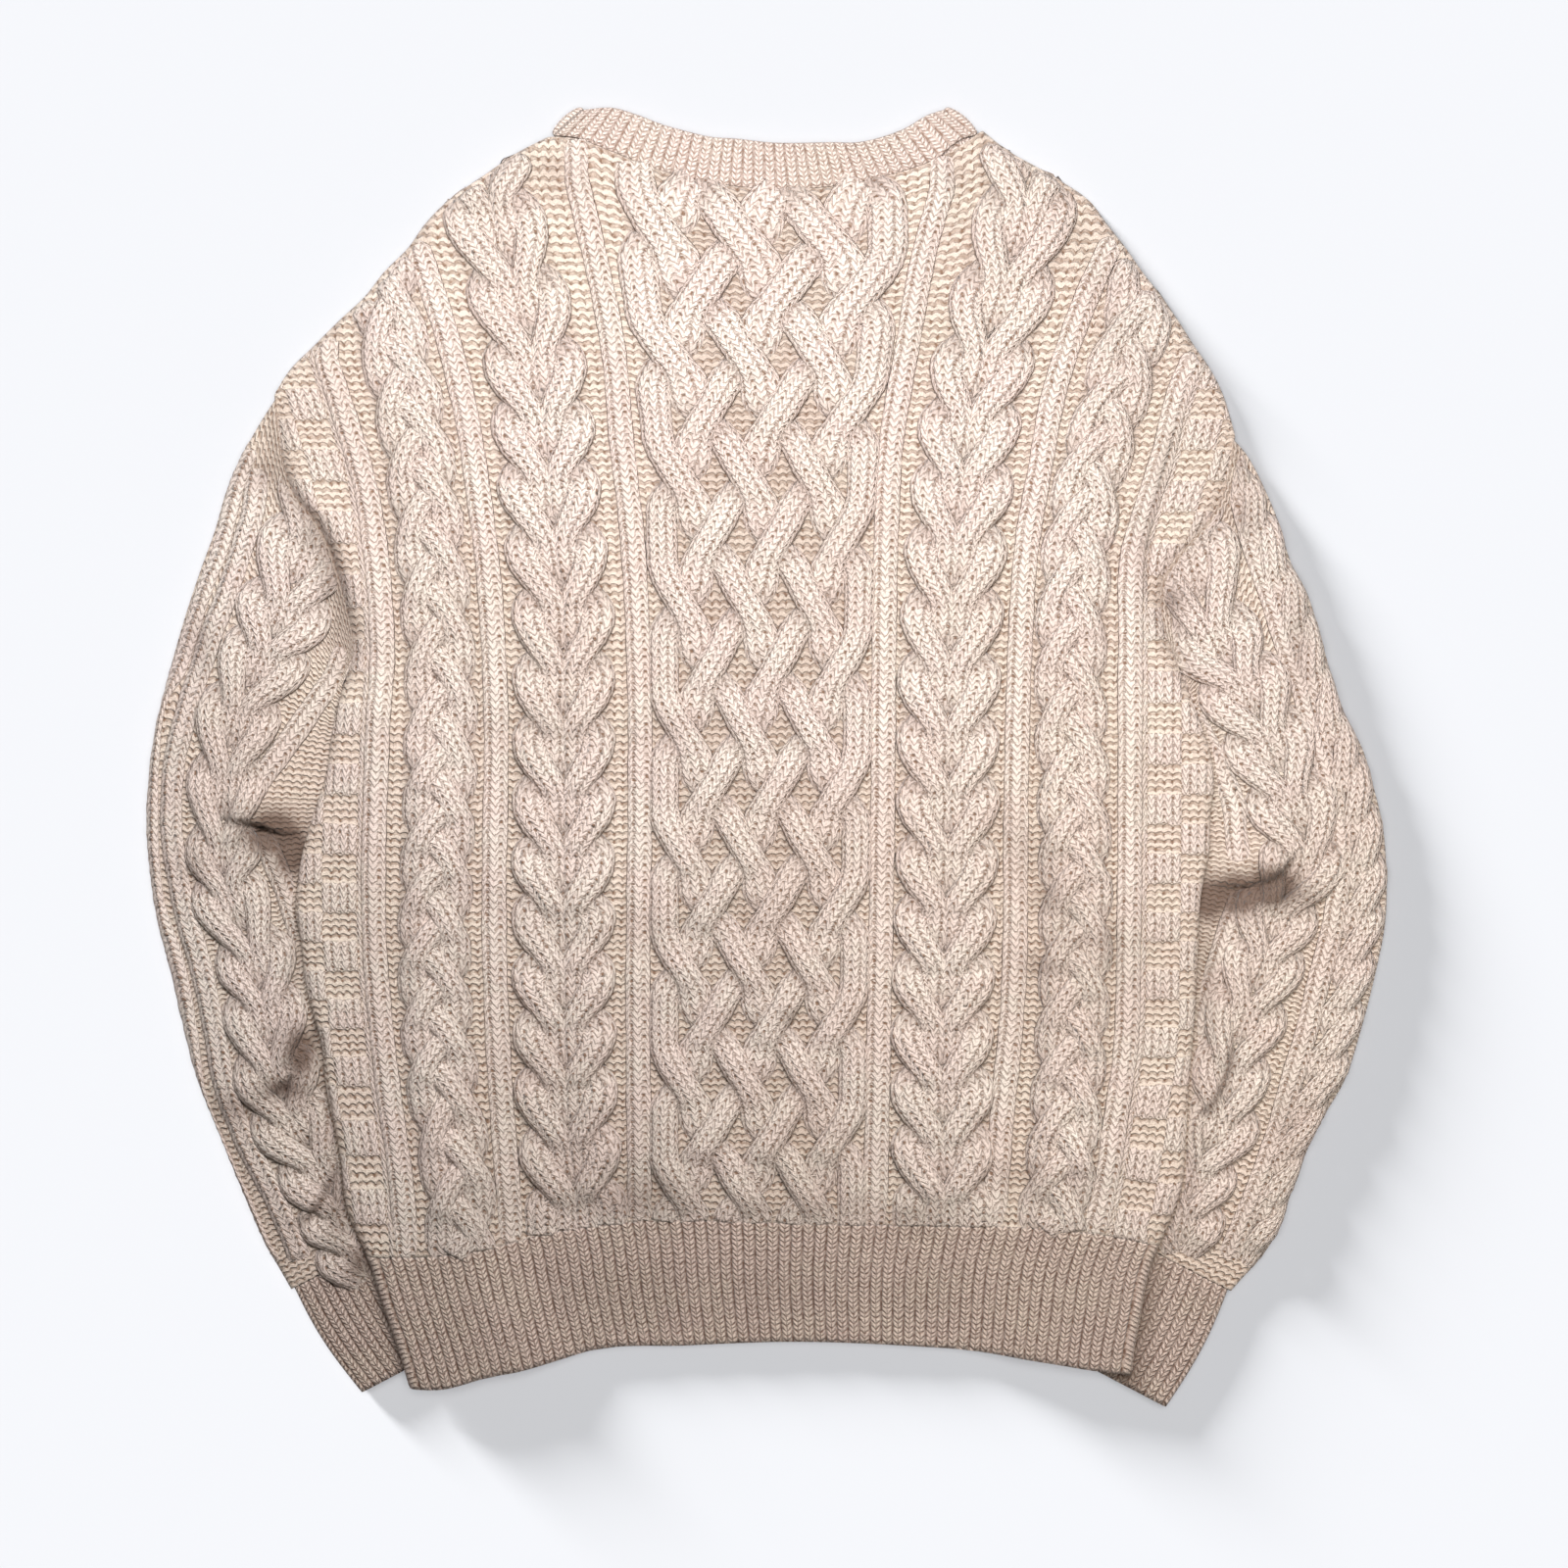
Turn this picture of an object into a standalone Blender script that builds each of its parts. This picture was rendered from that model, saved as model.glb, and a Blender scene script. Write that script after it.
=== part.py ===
"""Cable knit sweater laid flat on its front, so that its back is on top.

The sleeves are folded down beside the body, with their inner edges under it. Lengths are in
millimetres and are scaled to metres when a mesh is made. +X is to the right as seen from above,
+Y runs from hem to neck and +Z is up. The origin is under the middle of the garment, on the surface.
"""
from math import cos, exp, hypot, pi, sin

import bmesh
import bpy
import numpy as np

MM = 0.001

CENTRE_X, CENTRE_Y = -0.95, -0.38   # middle of the outline below, where the origin is

# Cloth layers
WALL = 3.0                # plain knit wall
LAYER_GAP = 0.5           # between front and back where they lie on each other
LUMEN = 0.8               # air inside a flattened sleeve
SEAM = 0.3                # between two pieces at a seam
BACK_INNER = WALL + LAYER_GAP
BACK_OUTER = BACK_INNER + WALL
SLEEVE_TOP = 2 * WALL + LUMEN
LIFT = SLEEVE_TOP + LAYER_GAP   # how far the body's sides are raised by the sleeves under them
FRONT_INSET = 4.2         # the back's edge rolls down round the front's edge
ROLL_FADE = 12.0          # length over which the edge goes from sewn flat to rolled
NECK_SEAM = 0.4

# Knit relief above the plain wall
CABLE = 4.6               # crown of a cable strand
CROSSING = 5.4            # where one strand passes over another
BRAID_CABLE = 5.0
RIDGE = 2.2               # three-stitch ridge between cables
BASKET = 0.9              # raised block of the basket stitch at the sides
RIB = 1.5
RIB_END = 0.35            # share of it at a rib's seam and free edge
RIB_PITCH = 7.0           # one knit and one purl stitch
ROWS_PER_CROSSING = 3     # mesh rows in the eight knit rows from one crossing to the next
PUFF = 3.0                # loose upper wall of a sleeve

# Heights y of the cable crossings, numbered downwards from the neck
CROSSINGS = dict(number=(-2, -1, 0, 4, 8, 12, 16, 17), y=(347, 315, 284, 152, 12, -118, -243, -273))
FIRST_CROSSING = -1.0     # neck seam of the back
LAST_CROSSING = 16.5      # hem seam
NECK_BEND = 3.2           # the rows bend to the neck seam over this many crossings
HEM_BEND = 2.5
FRONT_FIRST = 1.0         # the front's rows bend to its deeper neck from here, over FRONT_BEND
FRONT_BEND = 1.6

# Outline of the body, back side up: x at each height y
LEFT_SHOULDER = dict(
    y=(200, 214, 227, 241, 254, 268, 281, 295, 308, 322, 335, 342),
    x=(-273, -265, -252, -238, -224, -213, -200, -190, -177, -157, -137, -123))
LEFT_ARMHOLE = dict(
    y=(55.6, 67, 86, 102, 117, 130, 142, 157, 179, 200),
    x=(-230, -231, -235, -239, -244, -251, -261, -268, -272, -273))
LEFT_SIDE = dict(
    y=(-349, -329, -303, -275, -252, -217, -183, -157, -140, -122, -102, -86, -72, -53, -32, -10, 11, 30, 55.6),
    x=(-198, -204, -213, -222, -232, -237, -244, -247, -252, -256, -258, -261, -260, -257, -251, -244, -241,
       -237, -230))
RIGHT_SHOULDER = dict(
    y=(177, 187, 200, 214, 227, 241, 254, 268, 281, 295, 308, 322, 335, 346),
    x=(258, 256, 252, 245, 236, 227, 218, 207, 198, 187, 177, 156, 133, 119))
RIGHT_ARMHOLE = dict(
    y=(55.6, 68, 83, 96, 109, 122, 137, 157, 177),
    x=(225, 221, 218, 219, 226, 238, 249, 256, 258))
RIGHT_SIDE = dict(
    y=(-349, -329, -312, -282, -260, -243, -217, -183, -148, -107, -75, -55, -32, -16, -4, 22, 36, 55.6),
    x=(200, 202, 205, 211, 220, 227, 230, 232, 235, 237, 239, 243, 244, 246, 245, 237, 232, 225))
LEFT_CORNERS = dict(underarm=55.6, shoulder=200)
RIGHT_CORNERS = dict(underarm=55.6, shoulder=177)

# Edges that run across the body: y at each x
BACK_NECK = dict(x=(-123, -104, -85, -68, -44, -23, 0, 20, 46, 72, 94, 108, 119),
                 y=(342, 340, 333, 326, 319, 315, 313, 313, 316, 322, 330, 338, 346))
NECK_TOP = dict(x=(-102, -86, -72, -59, -45, -32, -18, 0, 36, 49, 63, 76, 88, 97),
                y=(357, 358, 354, 349, 345, 342, 341, 339, 339, 339, 342, 347, 354, 357))
HEM_SEAM = dict(x=(-222, -187, -151, -121, -78, 0, 36, 100, 171, 192, 216),
                y=(-276, -276, -271, -264, -258, -258, -259, -260, -262, -265, -270))
HEM_EDGE = dict(x=(-198, -180, -153, -136, -113, -99, -45, 9, 90, 117, 157, 182, 200),
                y=(-349, -349, -342, -339, -333, -329, -326, -324, -327, -329, -335, -339, -341))

# Front neck: seam with the neckband and the band's free edge, from one shoulder to the other
FRONT_NECK = dict(
    seam_x=(-128, -121, -105, -67, 0, 67, 102, 115, 124), seam_y=(332, 318, 292, 264, 252, 264, 293, 320, 334),
    free_x=(-102, -97, -86, -57, 0, 57, 84, 91, 97), free_y=(357, 328, 310, 288, 278, 288, 311, 329, 357))
NECK_TIPS = dict(left=((-118, 342.6), (-102, 357)), right=((114, 343.6), (97, 357)))

# Raised side of the body, in from its edge: over the sleeve, then sloping to the surface
PLATEAU = dict(y=(-349, -318, -290, -257, -161, -105, -62, -35, -24, -10, 3, 16, 30, 60),
               width=(60, 62, 58, 56, 60, 68, 70, 70, 64, 56, 46, 34, 20, 20))
SLOPE = 35.0
LIFT_LENGTH = 30.0        # the side is raised over this length below the underarm
MIDDLE = 48.0             # half the width of the plain sides' middle strip

# Knit columns of the back: centre x at each height y
SIDE_RIDGE_LEFT = dict(y=(-269, -234, -183, -112, 9, 60, 115, 150, 184, 218),
                       x=(-199, -202, -209, -216, -215, -213, -217, -223, -233, -244))
PLAIT_LEFT = dict(y=(-260, -234, -183, -112, -26, 43, 115, 150, 184, 227, 253),
                  x=(-169, -171, -179, -184, -181, -181, -187, -191, -197, -207, -213))
OUTER_RIDGE_LEFT = dict(y=(-260, -234, -182, -113, 43, 114, 144, 184, 230, 282),
                        x=(-142, -144, -148, -151, -151, -156, -160, -166, -177, -194))
HORSESHOE_LEFT = dict(y=(-253, -199, -107, 19, 87, 119, 157, 195, 227, 254, 292, 311),
                      x=(-106, -111, -113, -113, -114, -118, -122, -126, -131, -138, -150, -156))
INNER_RIDGE_LEFT = dict(y=(-253, -151, 65, 119, 173, 227, 281, 319), x=(-71, -72, -72, -75, -81, -86, -97, -106))
BRAID = dict(y=(-259, 38, 313), x=(-6, -4, -4))
BRAID_REACH = dict(y=(-214, -97, 60, 118, 152, 184, 218, 254, 281), half=(52, 53, 54, 55, 56, 58, 62, 66, 70))
INNER_RIDGE_RIGHT = dict(y=(-253, -151, -43, 65, 119, 173, 227, 281, 313), x=(59, 61, 63, 64, 65, 68, 77, 87, 96))
HORSESHOE_RIGHT = dict(y=(-253, -199, -140, -48, 55, 90, 120, 157, 194, 226, 254, 289, 303),
                       x=(97, 96, 96, 99, 100, 102, 104, 108, 113, 121, 129, 139, 143))
OUTER_RIDGE_RIGHT = dict(y=(-260, -200, -148, -9, 60, 118, 158, 201, 227, 263, 284),
                         x=(124, 129, 134, 137, 139, 143, 150, 158, 166, 180, 190))
PLAIT_RIGHT = dict(y=(-260, -234, -183, -94, -26, 60, 115, 150, 184, 218, 253),
                   x=(156, 160, 165, 169, 168, 167, 171, 177, 187, 197, 207))
SIDE_RIDGE_RIGHT = dict(y=(-260, -234, -200, -166, -94, 60, 115, 141, 166, 201, 224),
                        x=(180, 186, 191, 196, 198, 200, 202, 210, 218, 227, 237))

# Sleeves: the ends of lines across them, from the armhole down to the cuff
SLEEVE_LEFT = dict(
    outer_x=(-273, -282, -292, -300, -306, -314, -322, -329, -335, -340, -343, -344, -342, -338, -331, -324, -316,
             -303, -291, -279, -264),
    outer_y=(199, 184, 165, 146, 125, 103, 79, 55, 32, 9, -16, -37, -64, -91, -118, -148, -178, -210, -240, -268,
             -295),
    inner_x=(-230.5, -231.8, -233.2, -234.6, -236.2, -238, -240.3, -234, -219, -205, -197, -194, -198, -201,
             -203, -203, -202, -200, -198, -194, -191),
    inner_y=(55, 52, 48, 44, 38.5, 32.5, 25, 15, 3, -10, -24, -35, -47, -62, -80, -105, -130, -161, -193, -224,
             -257))
SLEEVE_RIGHT = dict(
    outer_x=(259, 267, 275, 282, 289, 298, 305, 311, 319, 329, 335, 340, 342, 341, 335, 328, 319, 303, 292, 279,
             256),
    outer_y=(176, 165, 148, 130, 107, 90, 68, 46, 23, 3, -18, -40, -67, -94, -124, -151, -179, -207, -234, -268,
             -296),
    inner_x=(225.5, 227.5, 229.3, 231.3, 233.8, 236.4, 239.6, 231, 217, 203, 195, 192, 193, 195, 198, 198, 197, 195, 193, 190,
             184),
    inner_y=(54.5, 51, 47, 42.5, 36.5, 30, 22, 10, -2, -14, -25, -37, -49, -63, -82, -105, -130, -161, -193, -234, -259))
SLEEVE_CROSSINGS = dict(number=(-2, 0, 2, 5, 9, 13.5), line=(0, 4, 8, 12.3, 16, 20))
SLEEVE_RINGS_PER_CROSSING = 2
SLEEVE_BAND_SCALE = dict(line=(0, 2, 4, 6, 8, 14, 17, 20), scale=(1.55, 1.5, 1.35, 1.1, 1.0, 1.0, 0.93, 0.82))
SLEEVE_FOLDS = dict(      # troughs that press the loose upper wall down, one row each
    x0=(-276, -287, -262, 246, 262), y0=(158, -35, -178, -71, -170),
    x1=(-242, -262, -248, 286, 244), y1=(96, -54, -150, -58, -140),
    width=(9, 8, 7, 9, 7))

# Cuffs: end edge, outer side first
CUFF_LEFT = dict(outer=(-225, -352), inner=(-160, -318), bow=3.0)
CUFF_RIGHT = dict(outer=(220, -360), inner=(153, -325), bow=3.0)
CUFF_STEP = 2.0           # the cuff is drawn in from the sleeve

WOOL = (0.76, 0.66, 0.58, 1.0)
RIB_WOOL = (0.66, 0.56, 0.50, 1.0)


# ---------------------------------------------------------------- helpers

def smooth_curve(at, value):
    """Return a function through the points (at, value), with cubic pieces and clamped ends."""
    order = np.argsort(at)
    t = np.asarray(at, float)[order]
    v = np.asarray(value, float)[order]
    step = np.diff(v) / np.diff(t)
    slope = np.empty_like(v)
    slope[0] = step[0]
    slope[-1] = step[-1]
    slope[1:-1] = (step[:-1] * np.diff(t)[1:] + step[1:] * np.diff(t)[:-1]) / (t[2:] - t[:-2])

    def read(a):
        a = min(max(a, t[0]), t[-1])
        i = min(int(np.searchsorted(t, a, side="right")) - 1, len(t) - 2)
        h = t[i + 1] - t[i]
        s = (a - t[i]) / h
        return float((2 * s**3 - 3 * s**2 + 1) * v[i] + (s**3 - 2 * s**2 + s) * h * slope[i]
                     + (3 * s**2 - 2 * s**3) * v[i + 1] + (s**3 - s**2) * h * slope[i + 1])
    return read


def clamp(value, low=0.0, high=1.0):
    return min(max(value, low), high)


def mix(a, b, t):
    return a + (b - a) * t


def bump(distance, reach):
    """A rounded hump: 1 at distance 0, and 0 from reach on."""
    return max(0.0, 1.0 - (distance / reach) ** 2)


class Skin:
    """A mesh made of chains of points, each a list of (key, vertex), joined chain to chain."""

    def __init__(self):
        self.bm = bmesh.new()

    def chain(self, points):
        """Add the points (key, x, y, z) in millimetres."""
        return [(key, self.bm.verts.new(((x - CENTRE_X) * MM, (y - CENTRE_Y) * MM, z * MM)))
                for key, x, y, z in points]

    def face(self, *corners):
        if len(set(corners)) == len(corners) and not self.bm.faces.get(corners):
            self.bm.faces.new(corners)

    def bridge(self, first, second):
        """Join two chains by their keys: a pair of triangles where both step on together, else one."""
        i = j = 0
        while i < len(first) - 1 or j < len(second) - 1:
            key_i = first[i + 1][0] if i < len(first) - 1 else None
            key_j = second[j + 1][0] if j < len(second) - 1 else None
            a, b = first[i][1], second[j][1]
            if key_i is not None and key_i == key_j:
                c, d = first[i + 1][1], second[j + 1][1]
                if abs(a.co.z - d.co.z) <= abs(b.co.z - c.co.z):
                    self.face(a, c, d)
                    self.face(a, d, b)
                else:
                    self.face(a, c, b)
                    self.face(c, d, b)
                i += 1
                j += 1
            elif key_j is None or (key_i is not None and key_i < key_j):
                self.face(a, first[i + 1][1], b)
                i += 1
            else:
                self.face(a, second[j + 1][1], b)
                j += 1

    def sheet(self, chains):
        for first, second in zip(chains, chains[1:]):
            self.bridge(first, second)

    def finish(self, name, material, collection):
        bmesh.ops.recalc_face_normals(self.bm, faces=self.bm.faces)
        mesh = bpy.data.meshes.new(name)
        self.bm.to_mesh(mesh)
        self.bm.free()
        mesh.materials.append(material)
        mesh.shade_smooth()
        mesh.set_sharp_from_angle(angle=1.0)
        part = bpy.data.objects.new(name, mesh)
        collection.objects.link(part)
        return part


def rekey(chain, axis):
    """Key a chain by its place along an axis, so that unlike chains can be joined across an edge."""
    return [(vert.co[axis], vert) for _, vert in chain]


def by_length(chain):
    """Key a closed chain by the share of its length, seen from above."""
    lengths = [0.0]
    for (_, a), (_, b) in zip(chain, chain[1:]):
        lengths.append(lengths[-1] + hypot(b.co.x - a.co.x, b.co.y - a.co.y))
    return [(length / lengths[-1], vert) for length, (_, vert) in zip(lengths, chain)]


def wall(name, outer, inner, material, collection):
    """A closed wall between an outer and an inner sheet of rows. Each row is (row key, points)."""
    skin = Skin()
    outer_rows = [(key, skin.chain(points)) for key, points in outer]
    inner_rows = [(key, skin.chain(points)) for key, points in inner]
    skin.sheet([chain for _, chain in outer_rows])
    skin.sheet([chain for _, chain in inner_rows])
    for end in (0, -1):
        skin.bridge(rekey(outer_rows[end][1], 0), rekey(inner_rows[end][1], 0))
        skin.bridge([(key, chain[end][1]) for key, chain in outer_rows],
                    [(key, chain[end][1]) for key, chain in inner_rows])
    return skin.finish(name, material, collection)


def tube(name, rings, material, collection):
    """A tube open at both ends. Each ring is an outer and an inner loop of keyed points."""
    skin = Skin()
    outer = []
    inner = []
    for outside, inside in rings:
        for loops, points in ((outer, outside), (inner, inside)):
            chain = skin.chain(points)
            loops.append(chain + [(chain[-1][0] + 1, chain[0][1])])
    skin.sheet(outer)
    skin.sheet(inner)
    for end in (0, -1):
        skin.bridge(by_length(outer[end]), by_length(inner[end]))
    return skin.finish(name, material, collection)


# ---------------------------------------------------------------- the body's shape

crossing_y = smooth_curve(CROSSINGS["number"], CROSSINGS["y"])
crossing_at = smooth_curve(CROSSINGS["y"], CROSSINGS["number"])
back_neck = smooth_curve(BACK_NECK["x"], BACK_NECK["y"])
neck_top = smooth_curve(NECK_TOP["x"], NECK_TOP["y"])
front_neck = smooth_curve(FRONT_NECK["seam_x"], FRONT_NECK["seam_y"])
hem_seam = smooth_curve(HEM_SEAM["x"], HEM_SEAM["y"])
hem_edge = smooth_curve(HEM_EDGE["x"], HEM_EDGE["y"])
plateau = smooth_curve(PLATEAU["y"], PLATEAU["width"])
braid_reach = smooth_curve(BRAID_REACH["y"], BRAID_REACH["half"])


def outline(shoulder, armhole, side, corners):
    parts = [smooth_curve(table["y"], table["x"]) for table in (shoulder, armhole, side)]

    def read(y):
        if y >= corners["shoulder"]:
            return parts[0](y)
        return parts[1](y) if y >= corners["underarm"] else parts[2](y)
    return read


left_edge = outline(LEFT_SHOULDER, LEFT_ARMHOLE, LEFT_SIDE, LEFT_CORNERS)
right_edge = outline(RIGHT_SHOULDER, RIGHT_ARMHOLE, RIGHT_SIDE, RIGHT_CORNERS)


def rolled(y, corners, ahead=0.0):
    """1 where the back's edge rolls down round the front, 0 along the armhole seam."""
    return max(clamp((corners["underarm"] + ahead - y) / ROLL_FADE),
               clamp((y + ahead - corners["shoulder"]) / ROLL_FADE))


def lift(x, y):
    """Height of the body's underside: raised at the sides where the sleeves lie under it."""
    rise = 0.0
    for edge, corners, sign in ((left_edge, LEFT_CORNERS, 1), (right_edge, RIGHT_CORNERS, -1)):
        raised = clamp((corners["underarm"] - y) / LIFT_LENGTH)
        inside = (x - edge(y)) * sign
        rise += LIFT * raised * clamp(1 - (inside - plateau(y)) / SLOPE)
    return rise


def row_height(row, x):
    """Height y of a mesh row, a crossing number: bent to the neck seam above and the hem seam below."""
    y = crossing_y(row)
    top = clamp(1 - (row - FIRST_CROSSING) / NECK_BEND) ** 1.5
    bottom = clamp(1 - (LAST_CROSSING - row) / HEM_BEND)
    return (y + top * (back_neck(x) - crossing_y(FIRST_CROSSING))
            + bottom * (hem_seam(x) - crossing_y(LAST_CROSSING)))


def front_row_height(row, x):
    """As row_height, with the rows of the front bent to its deeper neck."""
    top = clamp((FRONT_FIRST + FRONT_BEND - row) / FRONT_BEND)
    return mix(row_height(max(row, FRONT_FIRST), x), front_neck(x), top)


def place(height, row, x_at):
    """The point of a row, whose height at x is height(row, x), on the line x = x_at(y)."""
    x = x_at(height(row, 0.0))
    for _ in range(14):
        x = (x + x_at(height(row, x))) / 2
    return x, height(row, x)


# ---------------------------------------------------------------- knit bands

def strand_points(lanes, number, pairs, height, over):
    """Relief at the middle of each lane and between neighbouring lanes, where strands cross.

    pairs(gap, number) gives how near the crossing in a gap is, from 0 far off to 1 on it.
    """
    near = [pairs(gap, number) for gap in range(lanes - 1)]
    points = []
    for lane in range(lanes):
        crossing = max([near[g] for g in (lane - 1, lane) if 0 <= g < lanes - 1])
        points.append(height * (1 - 0.3 * crossing))
        if lane < lanes - 1:
            points.append(over * near[lane])
    return points


def braid_pairs(gap, number):
    """Lanes 1-2, 3-4 and 5-6 cross at even numbers, and 2-3, 4-5 and 6-7 at odd ones."""
    nearest = round((number - gap % 2) / 2) * 2 + gap % 2
    return bump(number - nearest, 0.6)


def horseshoe_pairs(gap, number):
    """The outer pairs cross together at each number, and the middle only dips."""
    return 0.62 + 0.1 * bump(number - round(number), 0.5) if gap == 1 else bump(number - round(number), 0.5)


def plait_pairs(gap, number):
    """The right pair crosses at each number, and the left pair halfway between."""
    shifted = number + (0.5 if gap == 0 else 0.0)
    return bump(shifted - round(shifted), 0.38)


class Cable:
    """A cable of crossing strands that follows a centre line."""

    def __init__(self, table, lanes, pitch, pairs, height):
        self.centre = smooth_curve(table["y"], table["x"])
        self.offsets = [(h - (lanes - 1)) / 2 for h in range(2 * lanes - 1)]
        self.lanes = lanes
        self.pitch = pitch
        self.pairs = pairs
        self.height = height

    def columns(self):
        """Functions x(y) and relief(crossing number) of each mesh column."""
        def column(index):
            def x_at(y):
                return self.centre(y) + self.offsets[index] * self.pitch(y)

            def relief(number, _y):
                return strand_points(self.lanes, number, self.pairs, self.height, CROSSING)[index]
            return x_at, relief
        return [column(index) for index in range(len(self.offsets))]


class Ridge:
    """Three knit stitches side by side on the purl ground."""
    HALF = 6.0

    def __init__(self, table):
        self.centre = smooth_curve(table["y"], table["x"])

    def columns(self):
        def column(offset, height):
            return (lambda y: self.centre(y) + offset), (lambda _number, _y: height)
        return [column(-self.HALF, 0.0), column(0.0, RIDGE), column(self.HALF, 0.0)]


class Basket:
    """Blocks of knit and purl in turn, between the side ridge and the edge."""

    def __init__(self, table, side):
        self.ridge = smooth_curve(table["y"], table["x"])
        self.side = side

    def columns(self):
        def column(distance, phase):
            def relief(number, _y):
                return BASKET if (int(np.floor(number * 2 + 0.25)) + phase) % 2 else 0.0
            return (lambda y: self.ridge(y) + self.side * distance), relief
        pair = [column(14.0, 0), column(25.0, 1)]
        return pair[::-1] if self.side < 0 else pair


def body_columns():
    """All knit columns of the back from left to right, as (key, x(y), relief(number, y))."""
    plait_pitch = 12.0
    horseshoe_pitch = 12.7
    bands = [
        Basket(SIDE_RIDGE_LEFT, -1), Ridge(SIDE_RIDGE_LEFT),
        Cable(PLAIT_LEFT, 3, lambda y: plait_pitch, plait_pairs, CABLE),
        Ridge(OUTER_RIDGE_LEFT),
        Cable(HORSESHOE_LEFT, 4, lambda y: horseshoe_pitch, horseshoe_pairs, CABLE),
        Ridge(INNER_RIDGE_LEFT),
        Cable(BRAID, 7, lambda y: braid_reach(y) / 3, braid_pairs, BRAID_CABLE),
        Ridge(INNER_RIDGE_RIGHT),
        Cable(HORSESHOE_RIGHT, 4, lambda y: horseshoe_pitch, horseshoe_pairs, CABLE),
        Ridge(OUTER_RIDGE_RIGHT),
        Cable(PLAIT_RIGHT, 3, lambda y: plait_pitch, plait_pairs, CABLE),
        Ridge(SIDE_RIDGE_RIGHT), Basket(SIDE_RIDGE_RIGHT, 1)]
    columns = [column for band in bands for column in band.columns()]
    return [(key, x_at, relief) for key, (x_at, relief) in enumerate(columns)]


# ---------------------------------------------------------------- body panels

EDGE_KEY = 1000           # keys of the edge points lie outside those of the columns
# Section of the back's edge: distance in from it, and height above the underside
ROLLED_EDGE = dict(inset=(0.0, 0.8, 3.0, 7.0), z=(0.3, 3.2, 5.6, BACK_OUTER))
SEWN_EDGE = dict(inset=(0.0, 0.8, 3.0, 7.0), z=(5.0, 6.0, 6.4, BACK_OUTER))
ROLLED_LIP = dict(inset=(3.0, 3.2, 4.4), z=(0.3, 3.0, BACK_INNER))
SEWN_LIP = dict(inset=(0.0, 0.6, 4.4), z=(BACK_INNER, BACK_INNER, BACK_INNER))
EDGE_MARGIN = 9.0         # no cable column this close to the edge
COLUMN_GAP = 2.0          # least distance between two columns of a row
PLAIN_GAP = 3.0
SEAM_PITCH = 12.0         # points along the plain sides of a curved seam
ARMHOLE_LOW, ARMHOLE_HIGH = -5.0, 206.0
RELIEF_RISE = 6.0         # the relief rises from nothing over this width at the edges


def edge_points(row, roll_table, sewn_table, side):
    """Points of a row along the back's left (-1) or right (1) edge, from the outside in."""
    edge, corners = (left_edge, LEFT_CORNERS) if side < 0 else (right_edge, RIGHT_CORNERS)
    _, edge_y = place(row_height, row, edge)
    roll = rolled(edge_y, corners)
    points = []
    for i, (inset_a, z_a, inset_b, z_b) in enumerate(zip(sewn_table["inset"], sewn_table["z"],
                                                         roll_table["inset"], roll_table["z"])):
        inset = mix(inset_a, inset_b, roll)
        x, y = place(row_height, row, lambda at: edge(at) - side * inset)
        points.append((side * (EDGE_KEY + 10 - i), x, y, lift(x, y) + mix(z_a, z_b, roll)))
    return points


def across(left, middle, right):
    return left + middle + right[::-1]


def seam_fade(row):
    """Relief runs out towards the neck and hem seams."""
    return clamp((row - FIRST_CROSSING) / 0.4) * clamp((LAST_CROSSING - row) / 0.3)


def body_rows():
    count = round((LAST_CROSSING - FIRST_CROSSING) * ROWS_PER_CROSSING)
    return [mix(FIRST_CROSSING, LAST_CROSSING, i / count) for i in range(count + 1)]


def coarse_rows(rows):
    """Rows of the plain sides: each one by the neck and along the armholes, elsewhere every third."""
    return [row for i, row in enumerate(rows)
            if i % 3 == 0 or i < 3 or i == len(rows) - 1 or ARMHOLE_LOW < crossing_y(row) < ARMHOLE_HIGH]


def back_outer_row(row, columns):
    left = edge_points(row, ROLLED_EDGE, SEWN_EDGE, -1)
    right = edge_points(row, ROLLED_EDGE, SEWN_EDGE, 1)
    low, high = left[0][1] + EDGE_MARGIN, right[0][1] - EDGE_MARGIN
    middle = []
    for key, x_at, relief in columns:
        x, y = place(row_height, row, x_at)
        if low < x < high and (not middle or x > middle[-1][1] + COLUMN_GAP):
            rise = clamp(min(x - low, high - x) / RELIEF_RISE) * seam_fade(row)
            middle.append((key, x, y, lift(x, y) + BACK_OUTER + relief(crossing_at(y), y) * rise))
    points = across(left, middle, right)
    if row == FIRST_CROSSING:
        points = along_seam(points, lambda x: row_height(row, x), BACK_OUTER)
    return points


def plain_lines():
    """The lines that a plain side's points lie on, as (key, x(y))."""
    return [(-60, lambda y: left_edge(y) + plateau(y)), (-50, lambda y: left_edge(y) + plateau(y) + SLOPE),
            (-10, lambda y: -MIDDLE), (0, lambda y: 0.0), (10, lambda y: MIDDLE),
            (50, lambda y: right_edge(y) - plateau(y) - SLOPE), (60, lambda y: right_edge(y) - plateau(y))]


def plain_columns(height, row, z, inset):
    """Points across a plain side: the plateau's ends, the feet of the slopes and the middle."""
    points = []
    for key, x_at in plain_lines():
        x, y = place(height, row, x_at)
        low = left_edge(y) + inset + PLAIN_GAP
        high = right_edge(y) - inset - PLAIN_GAP
        if low < x < high and (not points or x > points[-1][1] + PLAIN_GAP):
            points.append((key, x, y, lift(x, y) + z))
    return points


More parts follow.
